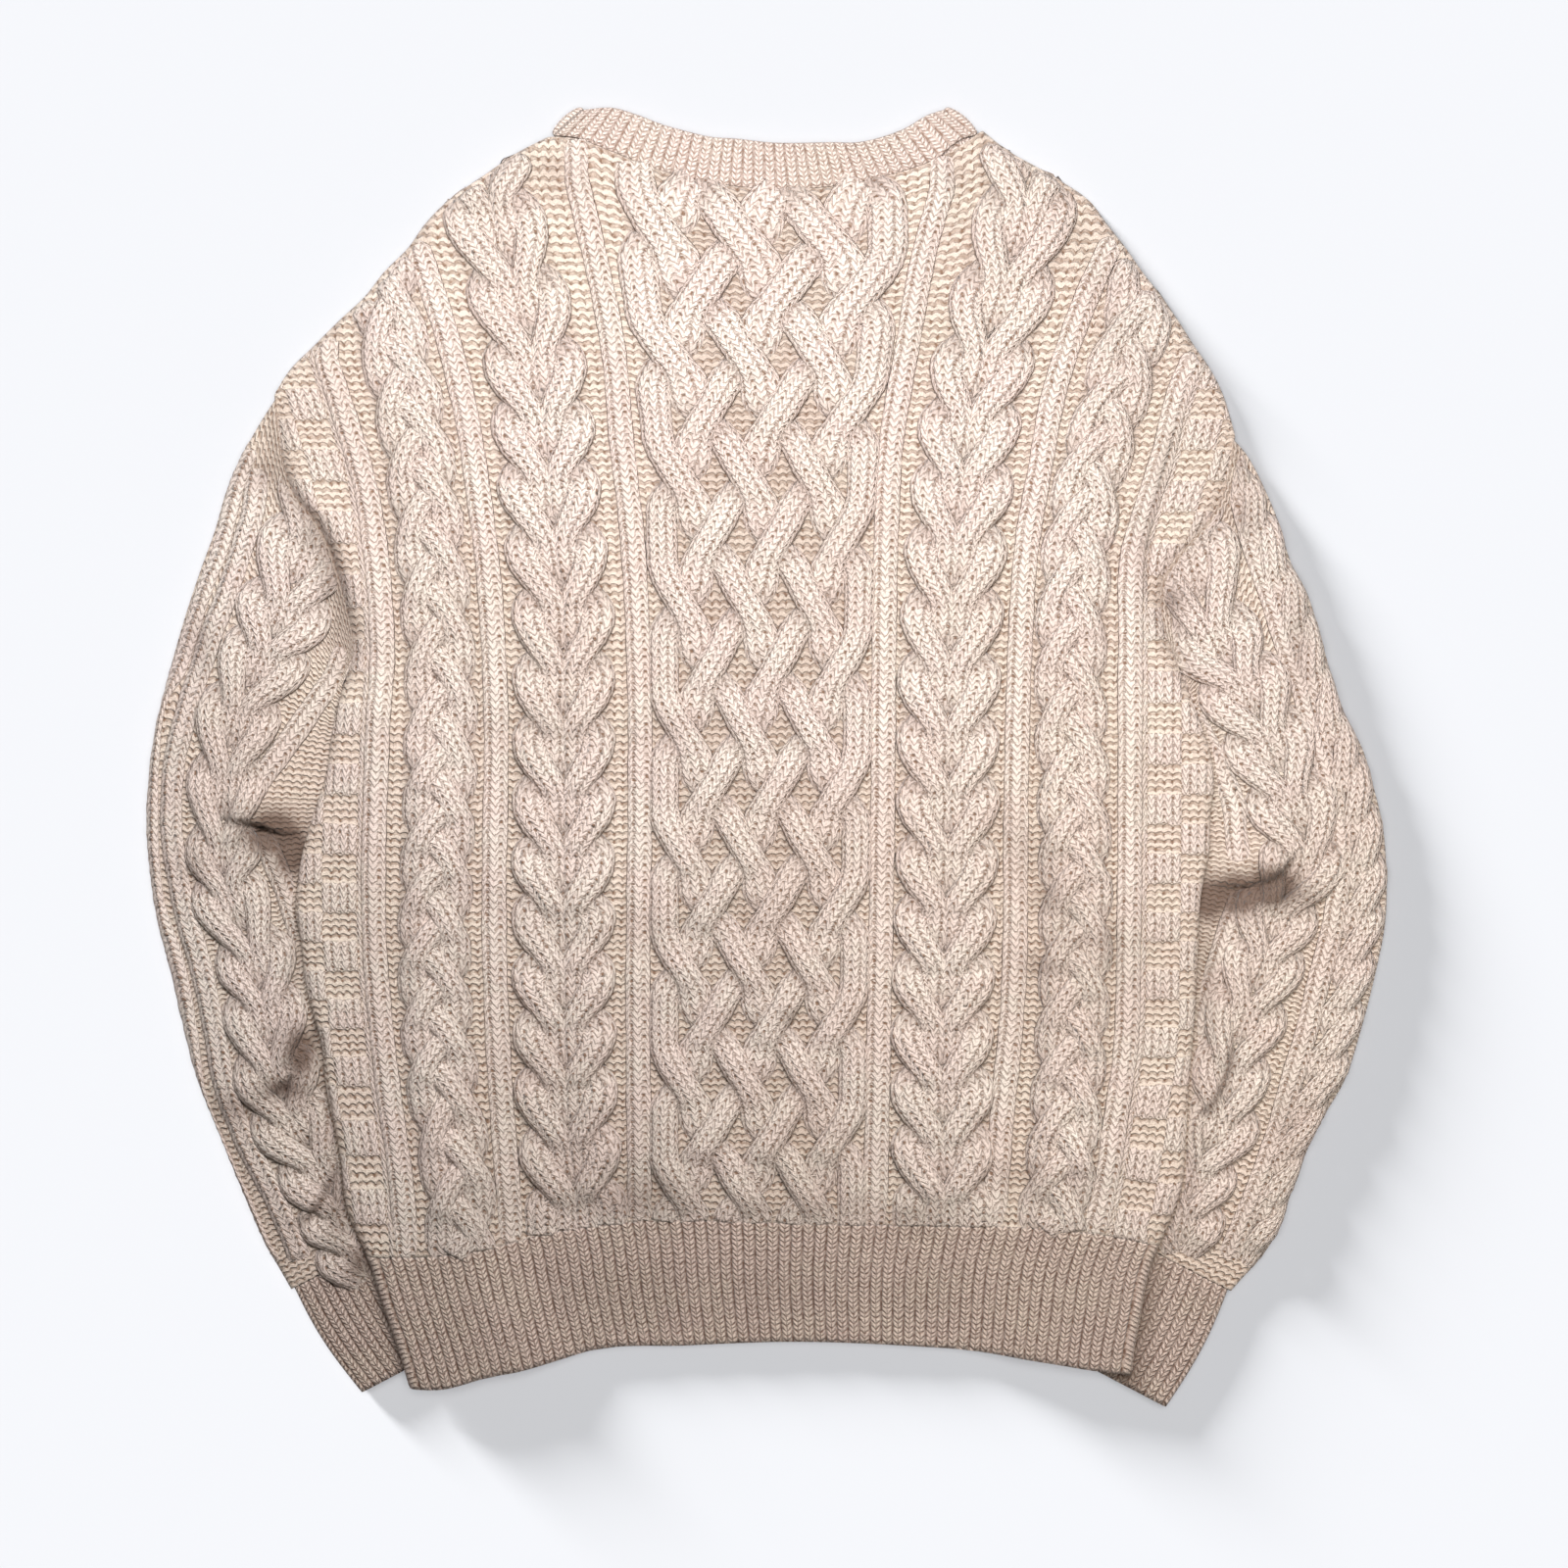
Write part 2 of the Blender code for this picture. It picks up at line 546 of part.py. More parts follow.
def along_seam(points, height, z):
    """Add points between those of a row, close enough that it follows the curve of a seam."""
    xs = [x for _, x, _, _ in points]
    keys = [key for key, _, _, _ in points]
    low, high = int(xs[0] // SEAM_PITCH) + 1, int(xs[-1] // SEAM_PITCH)
    extra = []
    for x in (SEAM_PITCH * step for step in range(low, high + 1)):
        if min(abs(x - other) for other in xs) > COLUMN_GAP:
            y = height(x)
            extra.append((float(np.interp(x, xs, keys)), x, y, lift(x, y) + z))
    return sorted(points + extra)


def back_inner_row(row):
    left = edge_points(row, ROLLED_LIP, SEWN_LIP, -1)
    right = edge_points(row, ROLLED_LIP, SEWN_LIP, 1)
    points = across(left, plain_columns(row_height, row, BACK_INNER, 2 * FRONT_INSET), right)
    if row in (FIRST_CROSSING, LAST_CROSSING):
        points = along_seam(points, lambda x: row_height(row, x), BACK_INNER)
    return points


def front_row(row, z):
    """A row of the front: inset under the rolled edge, up to the seam along the armholes."""
    ends = []
    for edge, corners, side in ((left_edge, LEFT_CORNERS, -1), (right_edge, RIGHT_CORNERS, 1)):
        _, edge_y = place(front_row_height, row, edge)
        inset = mix(0.05, FRONT_INSET, rolled(edge_y, corners, ROLL_FADE))
        x, y = place(front_row_height, row, lambda at: edge(at) - side * inset)
        ends.append((side * EDGE_KEY, x, y, lift(x, y) + z))
    points = [ends[0]] + plain_columns(front_row_height, row, z, 2 * FRONT_INSET) + [ends[1]]
    return along_seam(points, lambda x: front_row_height(row, x), z) if row == LAST_CROSSING else points


def front_neck_row(z):
    """The front's top row, along the neck seam."""
    keys = (-EDGE_KEY, -60, -50, -10, 0, 10, 50, 60, EDGE_KEY)
    return [(key, x, y, z) for key, x, y in zip(keys, FRONT_NECK["seam_x"], FRONT_NECK["seam_y"])]


def make_back_panel(material, collection):
    columns = body_columns()
    rows = body_rows()
    outer = [(row, back_outer_row(row, columns)) for row in rows]
    inner = [(row, back_inner_row(row)) for row in coarse_rows(rows)]
    wall("back_panel", outer, inner, material, collection)


def make_front_panel(material, collection):
    """Its first row is the neck seam, and the rows below bend down to it."""
    join = FRONT_FIRST + 0.6
    rows = [join] + [row for row in coarse_rows(body_rows()) if row > join + 0.2]
    sides = []
    for z in (0.0, WALL):
        sides.append([(FRONT_FIRST, front_neck_row(z))] + [(row, front_row(row, z)) for row in rows])
    wall("front_panel", sides[1], sides[0], material, collection)


# ---------------------------------------------------------------- hem ribs

def hem_height(part, x):
    """Height y across the hem rib: part 0 is its seam and part 1 its free edge."""
    return mix(hem_seam(x) - SEAM, hem_edge(x), part)


def hem_edge_points(part, table, side):
    edge = left_edge if side < 0 else right_edge
    points = []
    for i, (inset, z) in enumerate(zip(table["inset"], table["z"])):
        x, y = place(hem_height, part, lambda at: edge(at) - side * inset)
        points.append((side * (EDGE_KEY + 10 - i), x, y, lift(x, y) + z))
    return points


def hem_outer_row(part, ribs):
    left = hem_edge_points(part, ROLLED_EDGE, -1)
    right = hem_edge_points(part, ROLLED_EDGE, 1)
    inset = 2 * FRONT_INSET
    middle = []
    for i in range(2 * ribs + 1):
        share = i / (2 * ribs)
        x, y = place(hem_height, part, lambda at: mix(left_edge(at) + inset, right_edge(at) - inset, share))
        rise = RIB * (i % 2) * (RIB_END if part in (0.0, 1.0) else 1.0)
        middle.append((i, x, y, lift(x, y) + BACK_OUTER + rise))
    return across(left, middle, right)


def hem_plain_row(part, z, lip):
    middle = [(key, *place(hem_height, part, x_at)) for key, x_at in plain_lines()]
    middle = [(key, x, y, lift(x, y) + z) for key, x, y in middle]
    if lip:
        points = across(hem_edge_points(part, ROLLED_LIP, -1), middle, hem_edge_points(part, ROLLED_LIP, 1))
    else:
        ends = []
        for edge, side in ((left_edge, -1), (right_edge, 1)):
            x, y = place(hem_height, part, lambda at: edge(at) - side * FRONT_INSET)
            ends.append((side * EDGE_KEY, x, y, lift(x, y) + z))
        points = [ends[0]] + middle + [ends[1]]
    return along_seam(points, lambda x: hem_height(part, x), z) if part in (0.0, 1.0) else points


def make_hem_ribs(material, collection):
    middle_y = hem_height(0.5, 0.0)
    ribs = round((right_edge(middle_y) - left_edge(middle_y)) / RIB_PITCH)
    outer = [(part, hem_outer_row(part, ribs)) for part in (0.0, 0.08, 0.5, 0.95, 1.0)]
    steps = (0.0, 0.5, 1.0)
    inner = [(part, hem_plain_row(part, BACK_INNER, True)) for part in steps]
    wall("back_hem_rib", outer, inner, material, collection)
    top = [(part, hem_plain_row(part, WALL, False)) for part in steps]
    under = [(part, hem_plain_row(part, 0.0, False)) for part in steps]
    wall("front_hem_rib", top, under, material, collection)


# ---------------------------------------------------------------- neckband

def band_section(seam, free, angle, rib):
    """One section of the band. The angle is 0 on the back, 180 degrees on the front, between at a fold.

    The band turns over about the line from seam to free edge, halfway up the two layers.
    """
    axis = ((free[0] - seam[0]), (free[1] - seam[1]))
    length = hypot(*axis)
    out = (-axis[1] / length, axis[0] / length)
    if seam[0] > 0 and 0 < angle < pi:
        out = (-out[0], -out[1])
    middle = BACK_OUTER / 2
    near = LAYER_GAP / 2
    far = near + WALL + rib
    shares = ((0.0, far), (0.9, far), (1.0, far - 1.0), (1.0, near), (0.0, near))
    points = []
    for key, (share, radius) in enumerate(shares):
        x = mix(seam[0], free[0], share) + out[0] * radius * sin(angle)
        y = mix(seam[1], free[1], share) + out[1] * radius * sin(angle)
        points.append((key, x, y, middle + radius * cos(angle)))
    return points


def make_neckband(material, collection):
    left, right = NECK_TIPS["left"], NECK_TIPS["right"]
    ribs = round((right[0][0] - left[0][0]) / RIB_PITCH)
    sections = []
    for i in range(2 * ribs + 1):
        share = i / (2 * ribs)
        seam_x = mix(left[0][0], right[0][0], share)
        free_x = mix(left[1][0], right[1][0], share)
        tip = clamp(min(share, 1 - share) * 12)
        seam_y = mix(left[0][1] if share < 0.5 else right[0][1], back_neck(seam_x) + NECK_SEAM, tip)
        seam_y = max(seam_y, back_neck(seam_x) + NECK_SEAM)
        sections.append(band_section((seam_x, seam_y), (free_x, neck_top(free_x)), 0.0, RIB * (i % 2)))
    fold = [pi * step / 4 for step in (1, 2, 3)]
    sections += [band_section(*right, angle, 0.6) for angle in fold]
    front = list(zip(FRONT_NECK["seam_x"], FRONT_NECK["seam_y"], FRONT_NECK["free_x"], FRONT_NECK["free_y"]))
    sections.append(band_section(*right, pi, 0.0))
    for sx, sy, fx, fy in front[-2:0:-1]:
        share = NECK_SEAM / hypot(fx - sx, fy - sy)
        sections.append(band_section((mix(sx, fx, share), mix(sy, fy, share)), (fx, fy), pi, 0.0))
    sections.append(band_section(*left, pi, 0.0))
    sections += [band_section(*left, angle, 0.6) for angle in reversed(fold)]
    skin = Skin()
    chains = [skin.chain(points) for points in sections]
    rings = [chain + [(len(chain), chain[0][1])] for chain in chains]
    skin.sheet(rings + [rings[0]])
    skin.finish("neckband", material, collection)


# ---------------------------------------------------------------- sleeves and cuffs

# Bands of a sleeve, by distance in from its outer edge, and their relief off and on a crossing
SLEEVE_BANDS = dict(
    distance=(5.0, 9.0, 15.5, 22.0, 29.5, 35.5, 41.5, 47.5, 53.5, 59.5, 65.5, 73.0, 80.0, 86.0),
    between=(1.5, 0.0, RIDGE, 0.0, CABLE, 0.0, CABLE, 3.0, CABLE, 0.0, CABLE, 0.0, RIDGE, 0.0),
    crossed=(1.5, 0.0, RIDGE, 0.0, 3.2, CROSSING, 3.4, 3.6, 3.4, CROSSING, 3.2, 0.0, RIDGE, 0.0))
COVER_MARGIN = 1.0        # no relief this close to the body's edge, which passes over the sleeve
PUFF_MARGIN = 12.0        # the sleeve puffs up from here on, over PUFF_RISE
PUFF_RISE = 20.0
CUFF_COVER = 6.0          # the cuff's ribs start this far from the body's edge
FOLD_EDGE = dict(inset=(0.0, 0.5, 1.9, 3.4), half=(0.0, 0.53, 0.9, 1.0))   # rounded edge of a flattened tube
RING_KEYS = dict(top=100, far=400, under=500)


class Sleeve:
    """Lines across one sleeve, and the body edge that covers its inner side."""

    def __init__(self, table, side):
        index = range(len(table["outer_x"]))
        self.last = len(index) - 1
        self.curves = [smooth_curve(index, table[name]) for name in ("outer_x", "outer_y", "inner_x", "inner_y")]
        self.side = side
        self.edge = left_edge if side < 0 else right_edge
        self.scale = smooth_curve(SLEEVE_BAND_SCALE["line"], SLEEVE_BAND_SCALE["scale"])

    def ends(self, line):
        x0, y0, x1, y1 = [curve(line) for curve in self.curves]
        return (x0, y0), (x1, y1)

    def point(self, line, share):
        """The point at a share of a line; the first lines bend to the armhole seam."""
        (x0, y0), (x1, y1) = self.ends(line)
        x, y = mix(x0, x1, share), mix(y0, y1, share)
        near_seam = clamp(1 - line / 4) ** 2
        if near_seam > 0:
            (a0, b0), (a1, b1) = self.ends(0.0)
            seam_y = mix(b0, b1, share)
            x += near_seam * (self.edge(seam_y) + self.side * 0.5 - mix(a0, a1, share))
        return x, y

    def seam_shares(self):
        """Shares of the first line that fall on the mesh rows of the body along the armhole."""
        (_, y0), (_, y1) = self.ends(0.0)
        heights = [place(row_height, row, self.edge)[1] for row in body_rows()]
        shares = [(y - y0) / (y1 - y0) for y in heights]
        return [share for share in shares if 0.04 < share < 0.96]

    def outside(self, x, y):
        """Distance from the body's edge, positive where the sleeve is uncovered."""
        return (x - self.edge(y)) * self.side

    def puff(self, x, y, inset, line):
        """How far the loose upper wall stands up, less along the folds."""
        rise = PUFF * clamp((inset - 2) / PUFF_RISE) * clamp(line / 2) * clamp((self.last - line) / 1.5)
        rise *= clamp((self.outside(x, y) - PUFF_MARGIN) / PUFF_RISE)
        for x0, y0, x1, y1, width in zip(*(SLEEVE_FOLDS[name] for name in ("x0", "y0", "x1", "y1", "width"))):
            along = clamp(((x - x0) * (x1 - x0) + (y - y0) * (y1 - y0)) / hypot(x1 - x0, y1 - y0) ** 2)
            away = hypot(x - mix(x0, x1, along), y - mix(y0, y1, along))
            rise *= 1 - 0.9 * exp(-(away / width) ** 2)
        return rise


def band_relief(column, number):
    crossed = bump(number - round(number), 0.5)
    return mix(SLEEVE_BANDS["between"][column], SLEEVE_BANDS["crossed"][column], crossed)


def clear_of_cover(outside, i, column):
    """1 for a point whose neighbours are all clear of the body's edge, which passes over the sleeve."""
    near = [outside[k][c] for k in range(max(i - 1, 0), min(i + 2, len(outside)))
            for c in range(max(column - 1, 0), min(column + 2, len(outside[k])))]
    return clamp((min(near) - COVER_MARGIN) / RELIEF_RISE)


def flat_ring(locate, width, top_columns, under_shares, lumen_shares, lumen_rise):
    """Outer and inner loops of a flattened tube. top_columns are (key, distance, rise above the plain wall)."""
    half = SLEEVE_TOP / 2
    outer = []
    for i, (inset, share) in enumerate(zip(FOLD_EDGE["inset"], FOLD_EDGE["half"])):
        outer.append((i, *locate(inset / width), half + half * share))
    outer += [(RING_KEYS["top"] + key, *locate(distance / width), SLEEVE_TOP + rise)
              for key, distance, rise in top_columns]
    far = list(zip(FOLD_EDGE["inset"], FOLD_EDGE["half"]))
    for i, (inset, share) in enumerate(far[::-1]):
        outer.append((RING_KEYS["far"] + i, *locate(1 - inset / width), half + half * share))
    for i, (inset, share) in enumerate(far[1:]):
        outer.append((RING_KEYS["far"] + 10 + i, *locate(1 - inset / width), half - half * share))
    outer += [(RING_KEYS["under"] + 50 * (1 - share), *locate(share), 0.0) for share in under_shares[::-1]]
    for i, (inset, share) in enumerate(far[:0:-1]):
        outer.append((RING_KEYS["under"] + 100 + i, *locate(inset / width), half - half * share))
    inner = [(0, *locate(WALL / width), half)]
    inner += [(RING_KEYS["top"] + 50 * share, *locate(share), WALL + LUMEN + lumen_rise(share))
              for share in lumen_shares]
    inner.append((RING_KEYS["far"], *locate(1 - WALL / width), half))
    inner += [(RING_KEYS["under"] + 50 * (1 - share), *locate(share), WALL) for share in lumen_shares[::-1]]
    return outer, inner


def make_sleeve(name, table, side, material, collection):
    sleeve = Sleeve(table, side)
    line_at = smooth_curve(SLEEVE_CROSSINGS["number"], SLEEVE_CROSSINGS["line"])
    first, last = SLEEVE_CROSSINGS["number"][0], SLEEVE_CROSSINGS["number"][-1]
    count = round((last - first) * SLEEVE_RINGS_PER_CROSSING)
    numbers = [mix(first, last, i / count) for i in range(count + 1)]
    lines = [line_at(number) for number in numbers]
    widths = [hypot(x1 - x0, y1 - y0) for (x0, y0), (x1, y1) in map(sleeve.ends, lines)]
    insets = [[distance * sleeve.scale(line) for distance in SLEEVE_BANDS["distance"]
               if distance * sleeve.scale(line) < width - 6] for line, width in zip(lines, widths)]
    places = [[sleeve.point(line, inset / width) for inset in row]
              for line, width, row in zip(lines, widths, insets)]
    outside = [[sleeve.outside(x, y) for x, y in row] for row in places]
    rings = []
    for i, (number, line, width) in enumerate(zip(numbers, lines, widths)):
        fade = clamp(i / 2) * clamp((count - i) / 1.5)
        columns = []
        for column, (inset, (x, y)) in enumerate(zip(insets[i], places[i])):
            clear = clear_of_cover(outside, i, column)
            rise = clear * (fade * band_relief(column, number) + sleeve.puff(x, y, inset, line))
            columns.append((inset / sleeve.scale(line), inset, rise))

        def lumen_rise(share):
            x, y = sleeve.point(line, share)
            return 0.8 * sleeve.puff(x, y, share * width, line)
        under = [0.25, 0.5, 0.75]
        lumen = [0.14, 0.36, 0.64, 0.86]
        if i == 0:
            under = lumen = sleeve.seam_shares()
            columns = [(share * width / sleeve.scale(line), share * width, 0.0) for share in under]
        rings.append(flat_ring(lambda share: sleeve.point(line, share), width, columns, under, lumen, lumen_rise))
    tube(name, rings, material, collection)


def make_cuff(name, table, cuff, side, material, collection):
    sleeve = Sleeve(table, side)
    (x0, y0), (x1, y1) = sleeve.ends(sleeve.last)
    length = hypot(x1 - x0, y1 - y0)
    along = ((x1 - x0) / length, (y1 - y0) / length)
    down = (side * -along[1], side * along[0])
    start_outer = (x0 + along[0] * CUFF_STEP + down[0] * SEAM, y0 + along[1] * CUFF_STEP + down[1] * SEAM)
    start_inner = (x1 + down[0] * SEAM, y1 + down[1] * SEAM)
    ribs = round(length / RIB_PITCH)
    rings = []
    for part in (0.0, 0.08, 0.5, 0.94, 1.0):
        bow = -cuff["bow"] * sin(pi * part) * -side
        outer = (mix(start_outer[0], cuff["outer"][0], part) + bow, mix(start_outer[1], cuff["outer"][1], part))
        inner = (mix(start_inner[0], cuff["inner"][0], part), mix(start_inner[1], cuff["inner"][1], part))
        width = hypot(inner[0] - outer[0], inner[1] - outer[1])

        def locate(share):
            return mix(outer[0], inner[0], share), mix(outer[1], inner[1], share)
        columns = []
        for i in range(2 * ribs - 1):
            distance = mix(5.0, width - 5.0, i / (2 * ribs - 2))
            x, y = locate(distance / width)
            clear = clamp((sleeve.outside(x, y) - CUFF_COVER) / RELIEF_RISE)
            rise = RIB * ((i + 1) % 2) * clear * (RIB_END if part in (0.0, 1.0) else 1.0)
            columns.append((i, distance, rise))
        rings.append(flat_ring(locate, width, columns, [0.5], [0.15, 0.5, 0.85], lambda share: 0.0))
    tube(name, rings, material, collection)


# ---------------------------------------------------------------- materials and assembly

def wool(name, colour):
    material = bpy.data.materials.new(name)
    material.use_nodes = True
    shader = material.node_tree.nodes["Principled BSDF"]
    shader.inputs["Base Color"].default_value = colour
    shader.inputs["Roughness"].default_value = 0.95
    shader.inputs["Metallic"].default_value = 0.0
    return material


def main():
    for old in list(bpy.data.objects):
        bpy.data.objects.remove(old, do_unlink=True)
    collection = bpy.data.collections.new("cable_knit_sweater")
    bpy.context.scene.collection.children.link(collection)
    cable_wool = wool("wool_cable_knit", WOOL)
    rib_wool = wool("wool_rib", RIB_WOOL)
    make_front_panel(cable_wool, collection)
    make_back_panel(cable_wool, collection)
    make_hem_ribs(rib_wool, collection)
    make_neckband(rib_wool, collection)
    make_sleeve("sleeve_left", SLEEVE_LEFT, -1, cable_wool, collection)
    make_sleeve("sleeve_right", SLEEVE_RIGHT, 1, cable_wool, collection)
    make_cuff("cuff_left", SLEEVE_LEFT, CUFF_LEFT, -1, rib_wool, collection)
    make_cuff("cuff_right", SLEEVE_RIGHT, CUFF_RIGHT, 1, rib_wool, collection)


main()
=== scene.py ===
"""The look of the cable knit sweater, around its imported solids.

Each solid is replaced by a finely knitted shell of the same form, and the cables and ridges are
strands of their own, swept along their routes and laid on those shells. Lengths are in millimetres
until a mesh is made, x and y are measured from the drawing's origin, and +Z is up. The garment
lies on its front, so that its back is seen.
"""
from math import pi

import bmesh
import bpy
import numpy as np
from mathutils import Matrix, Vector


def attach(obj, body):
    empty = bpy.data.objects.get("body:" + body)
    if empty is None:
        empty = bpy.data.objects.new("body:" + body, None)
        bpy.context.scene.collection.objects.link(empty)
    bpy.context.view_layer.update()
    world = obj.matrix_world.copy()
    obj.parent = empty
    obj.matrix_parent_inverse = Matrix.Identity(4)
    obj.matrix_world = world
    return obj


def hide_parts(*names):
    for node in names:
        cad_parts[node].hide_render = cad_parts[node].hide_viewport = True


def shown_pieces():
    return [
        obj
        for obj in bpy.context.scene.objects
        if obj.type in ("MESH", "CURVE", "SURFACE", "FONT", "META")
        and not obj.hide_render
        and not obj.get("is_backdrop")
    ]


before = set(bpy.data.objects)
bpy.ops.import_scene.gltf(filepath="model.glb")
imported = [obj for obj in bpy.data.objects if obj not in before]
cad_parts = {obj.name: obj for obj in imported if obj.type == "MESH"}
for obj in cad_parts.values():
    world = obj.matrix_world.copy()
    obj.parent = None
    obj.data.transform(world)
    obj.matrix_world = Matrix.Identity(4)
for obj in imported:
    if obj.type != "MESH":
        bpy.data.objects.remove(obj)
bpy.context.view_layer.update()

MM = 0.001
PIXEL = 0.54                        # millimetres across one pixel of the 1600 pixel photo
DRAWING_ORIGIN = (784, 771)         # where x and y are 0 in the photo
FRAME_ORIGIN = (-0.95, -0.38, 0.0)  # middle of the outline, where the frame's origin is

WALL = 3.0                # plain knit wall
LAYER_GAP = 0.5           # between front and back where they lie on each other
LUMEN = 0.8               # air inside a flattened sleeve
SEAM = 0.3                # between two pieces at a seam
NECK_SEAM = 0.4           # between the neckband and the panels
BACK_INNER = WALL + LAYER_GAP
BACK_OUTER = BACK_INNER + WALL
SLEEVE_TOP = 2 * WALL + LUMEN
LIFT = SLEEVE_TOP + LAYER_GAP       # of the body where the sleeves lie under it
LIFT_LENGTH, SLOPE = 30.0, 35.0     # its ends along the sleeve and towards the body's middle
FRONT_INSET = 4.2         # of the front's edge from the back's
INNER_INSET, INNER_DROP = 3, 3.2    # how the back's inner side follows its rolled edge
ROLL, ROLL_FADE = 7.0, 12.0         # width of the rolled edge, and how it runs out along the edge
EDGE_INSETS = (0.0, 0.25, 0.9, 1.9, 3.2, 5.0, ROLL)     # distances of a side's points from its edge
FRONT_INSETS, INNER_INSETS = (0.0, 3.0), (0.0, 1.4)
FOLD_RISE, FOLD_FALL, FOLD_SHADE = 9.0, 24.0, 13.0    # widths of the bulges beside the armholes, and of the painted shade along them

FIRST_CROSSING, LAST_CROSSING = -1.0, 16.5    # of the cables: neck seam and hem seam of the back
NECK_BEND, HEM_BEND = 3.2, 2.5      # over so many crossings the rows bend to the seams
FRONT_FIRST, FRONT_BEND = 1.0, 1.6  # the same for the front, whose first row lies lower
ROWS_PER_CROSSING = 8     # knitted rows from one crossing to the next
ROW, PURL_WALE = 4.1, 4.7           # height of a knitted row and width of a purl stitch
RIB_PITCH, RIB_ROW, RIB = 6.5, 2.7, 1.3       # width, stitch height and relief of the ribs
BLOCK = dict(wales=4.0, rows=4.0, rise=1.1)   # of the basket stitch at the sides
PURL, KNIT, BASKET = 0.0, 1.0, 2.0  # kinds of stitch, the third value of a stitch coordinate

GRID = 2.4                # distance between the points of a shell
STRAND_STEP = 1.6         # distance between two sections of a strand
BACK_LONG, BACK_WIDE, SLEEVE_LONG, CABLE_LONG = 620, 500, 560, 640    # lengths to be divided by these steps
FRONT_ROWS, FRONT_COLUMNS = 93, 80  # points of the hidden front
BACK_HEM_ROWS, FRONT_HEM_ROWS, FRONT_HEM_COLUMNS = 34, 20, 256
RIDGE_SECTIONS, RIDGE_TOP = 310, 8  # sections along a ridge, and points over each
RIB_POINTS, FRONT_RIB_POINTS = 8, 4 # points across a rib
SECTION_TOP, SECTION_UNDER = 10, 4  # points over and under a strand's section
SINK = 0.8                # how far a strand without relief is sunk into its shell
OVER, UNDER = 1.9, -2.3   # how far a strand is raised or pressed down at a crossing
RIDGE = dict(width=14.0, crown=2.2) # of the plain ridges between the cables


# ---------------------------------------------------------------- helpers

def clamp(value, low=0.0, high=1.0):
    return np.clip(value, low, high)


def mix(a, b, t):
    return a + (b - a) * t


def ease(t):
    """A smooth step from 0 to 1."""
    t = clamp(t)
    return t * t * (3 - 2 * t)


def bump(distance, reach):
    """A smooth hump: 1 at distance 0, and 0 from reach on."""
    return 1 - ease(np.abs(distance) / reach)


def rounding(share):
    """Height of a quarter circle, from 0 at its foot to 1 on top."""
    return np.sqrt(clamp(1 - (1 - clamp(share)) ** 2))


def waves(at, seed, lengths=(9.0, 23.0, 61.0)):
    """A smooth, uneven wave between -1 and 1, the same for the same seed."""
    return sum(np.sin(2 * pi * at / length + seed * (1.7 + 0.9 * i) + i)
               for i, length in enumerate(lengths)) / len(lengths)


def curve(**table):
    """A smooth function through a table's points: its second column at its first, with held ends."""
    at, value = [np.asarray(column, float) for column in table.values()]
    order = np.argsort(at)
    t, v = at[order], value[order]
    gap = np.diff(t)
    step = np.diff(v) / gap
    inner = (step[:-1] * gap[1:] + step[1:] * gap[:-1]) / (t[2:] - t[:-2])
    slope = np.concatenate([step[:1], inner, step[-1:]])

    def read(a):
        a = np.clip(a, t[0], t[-1])
        i = np.clip(np.searchsorted(t, a, side="right") - 1, 0, len(t) - 2)
        h = gap[i]
        s = (a - t[i]) / h
        return ((2 * s**3 - 3 * s**2 + 1) * v[i] + (s**3 - 2 * s**2 + s) * h * slope[i]
                + (3 * s**2 - 2 * s**3) * v[i + 1] + (s**3 - s**2) * h * slope[i + 1])
    return read


def numbered(values):
    """A smooth function through values that are numbered from 0."""
    return curve(number=range(len(values)), value=values)


def softened(values, reach):
    """A moving average over 2 reach + 1 values, with the ends held."""
    padded = np.concatenate([np.full(reach, values[0]), values, np.full(reach, values[-1])])
    return np.convolve(padded, np.ones(2 * reach + 1) / (2 * reach + 1), mode="valid")


def stack(*values):
    """Put x, y and z, or u, v and kind, side by side."""
    return np.stack(np.broadcast_arrays(*[np.asarray(v, float) for v in values]), axis=-1)


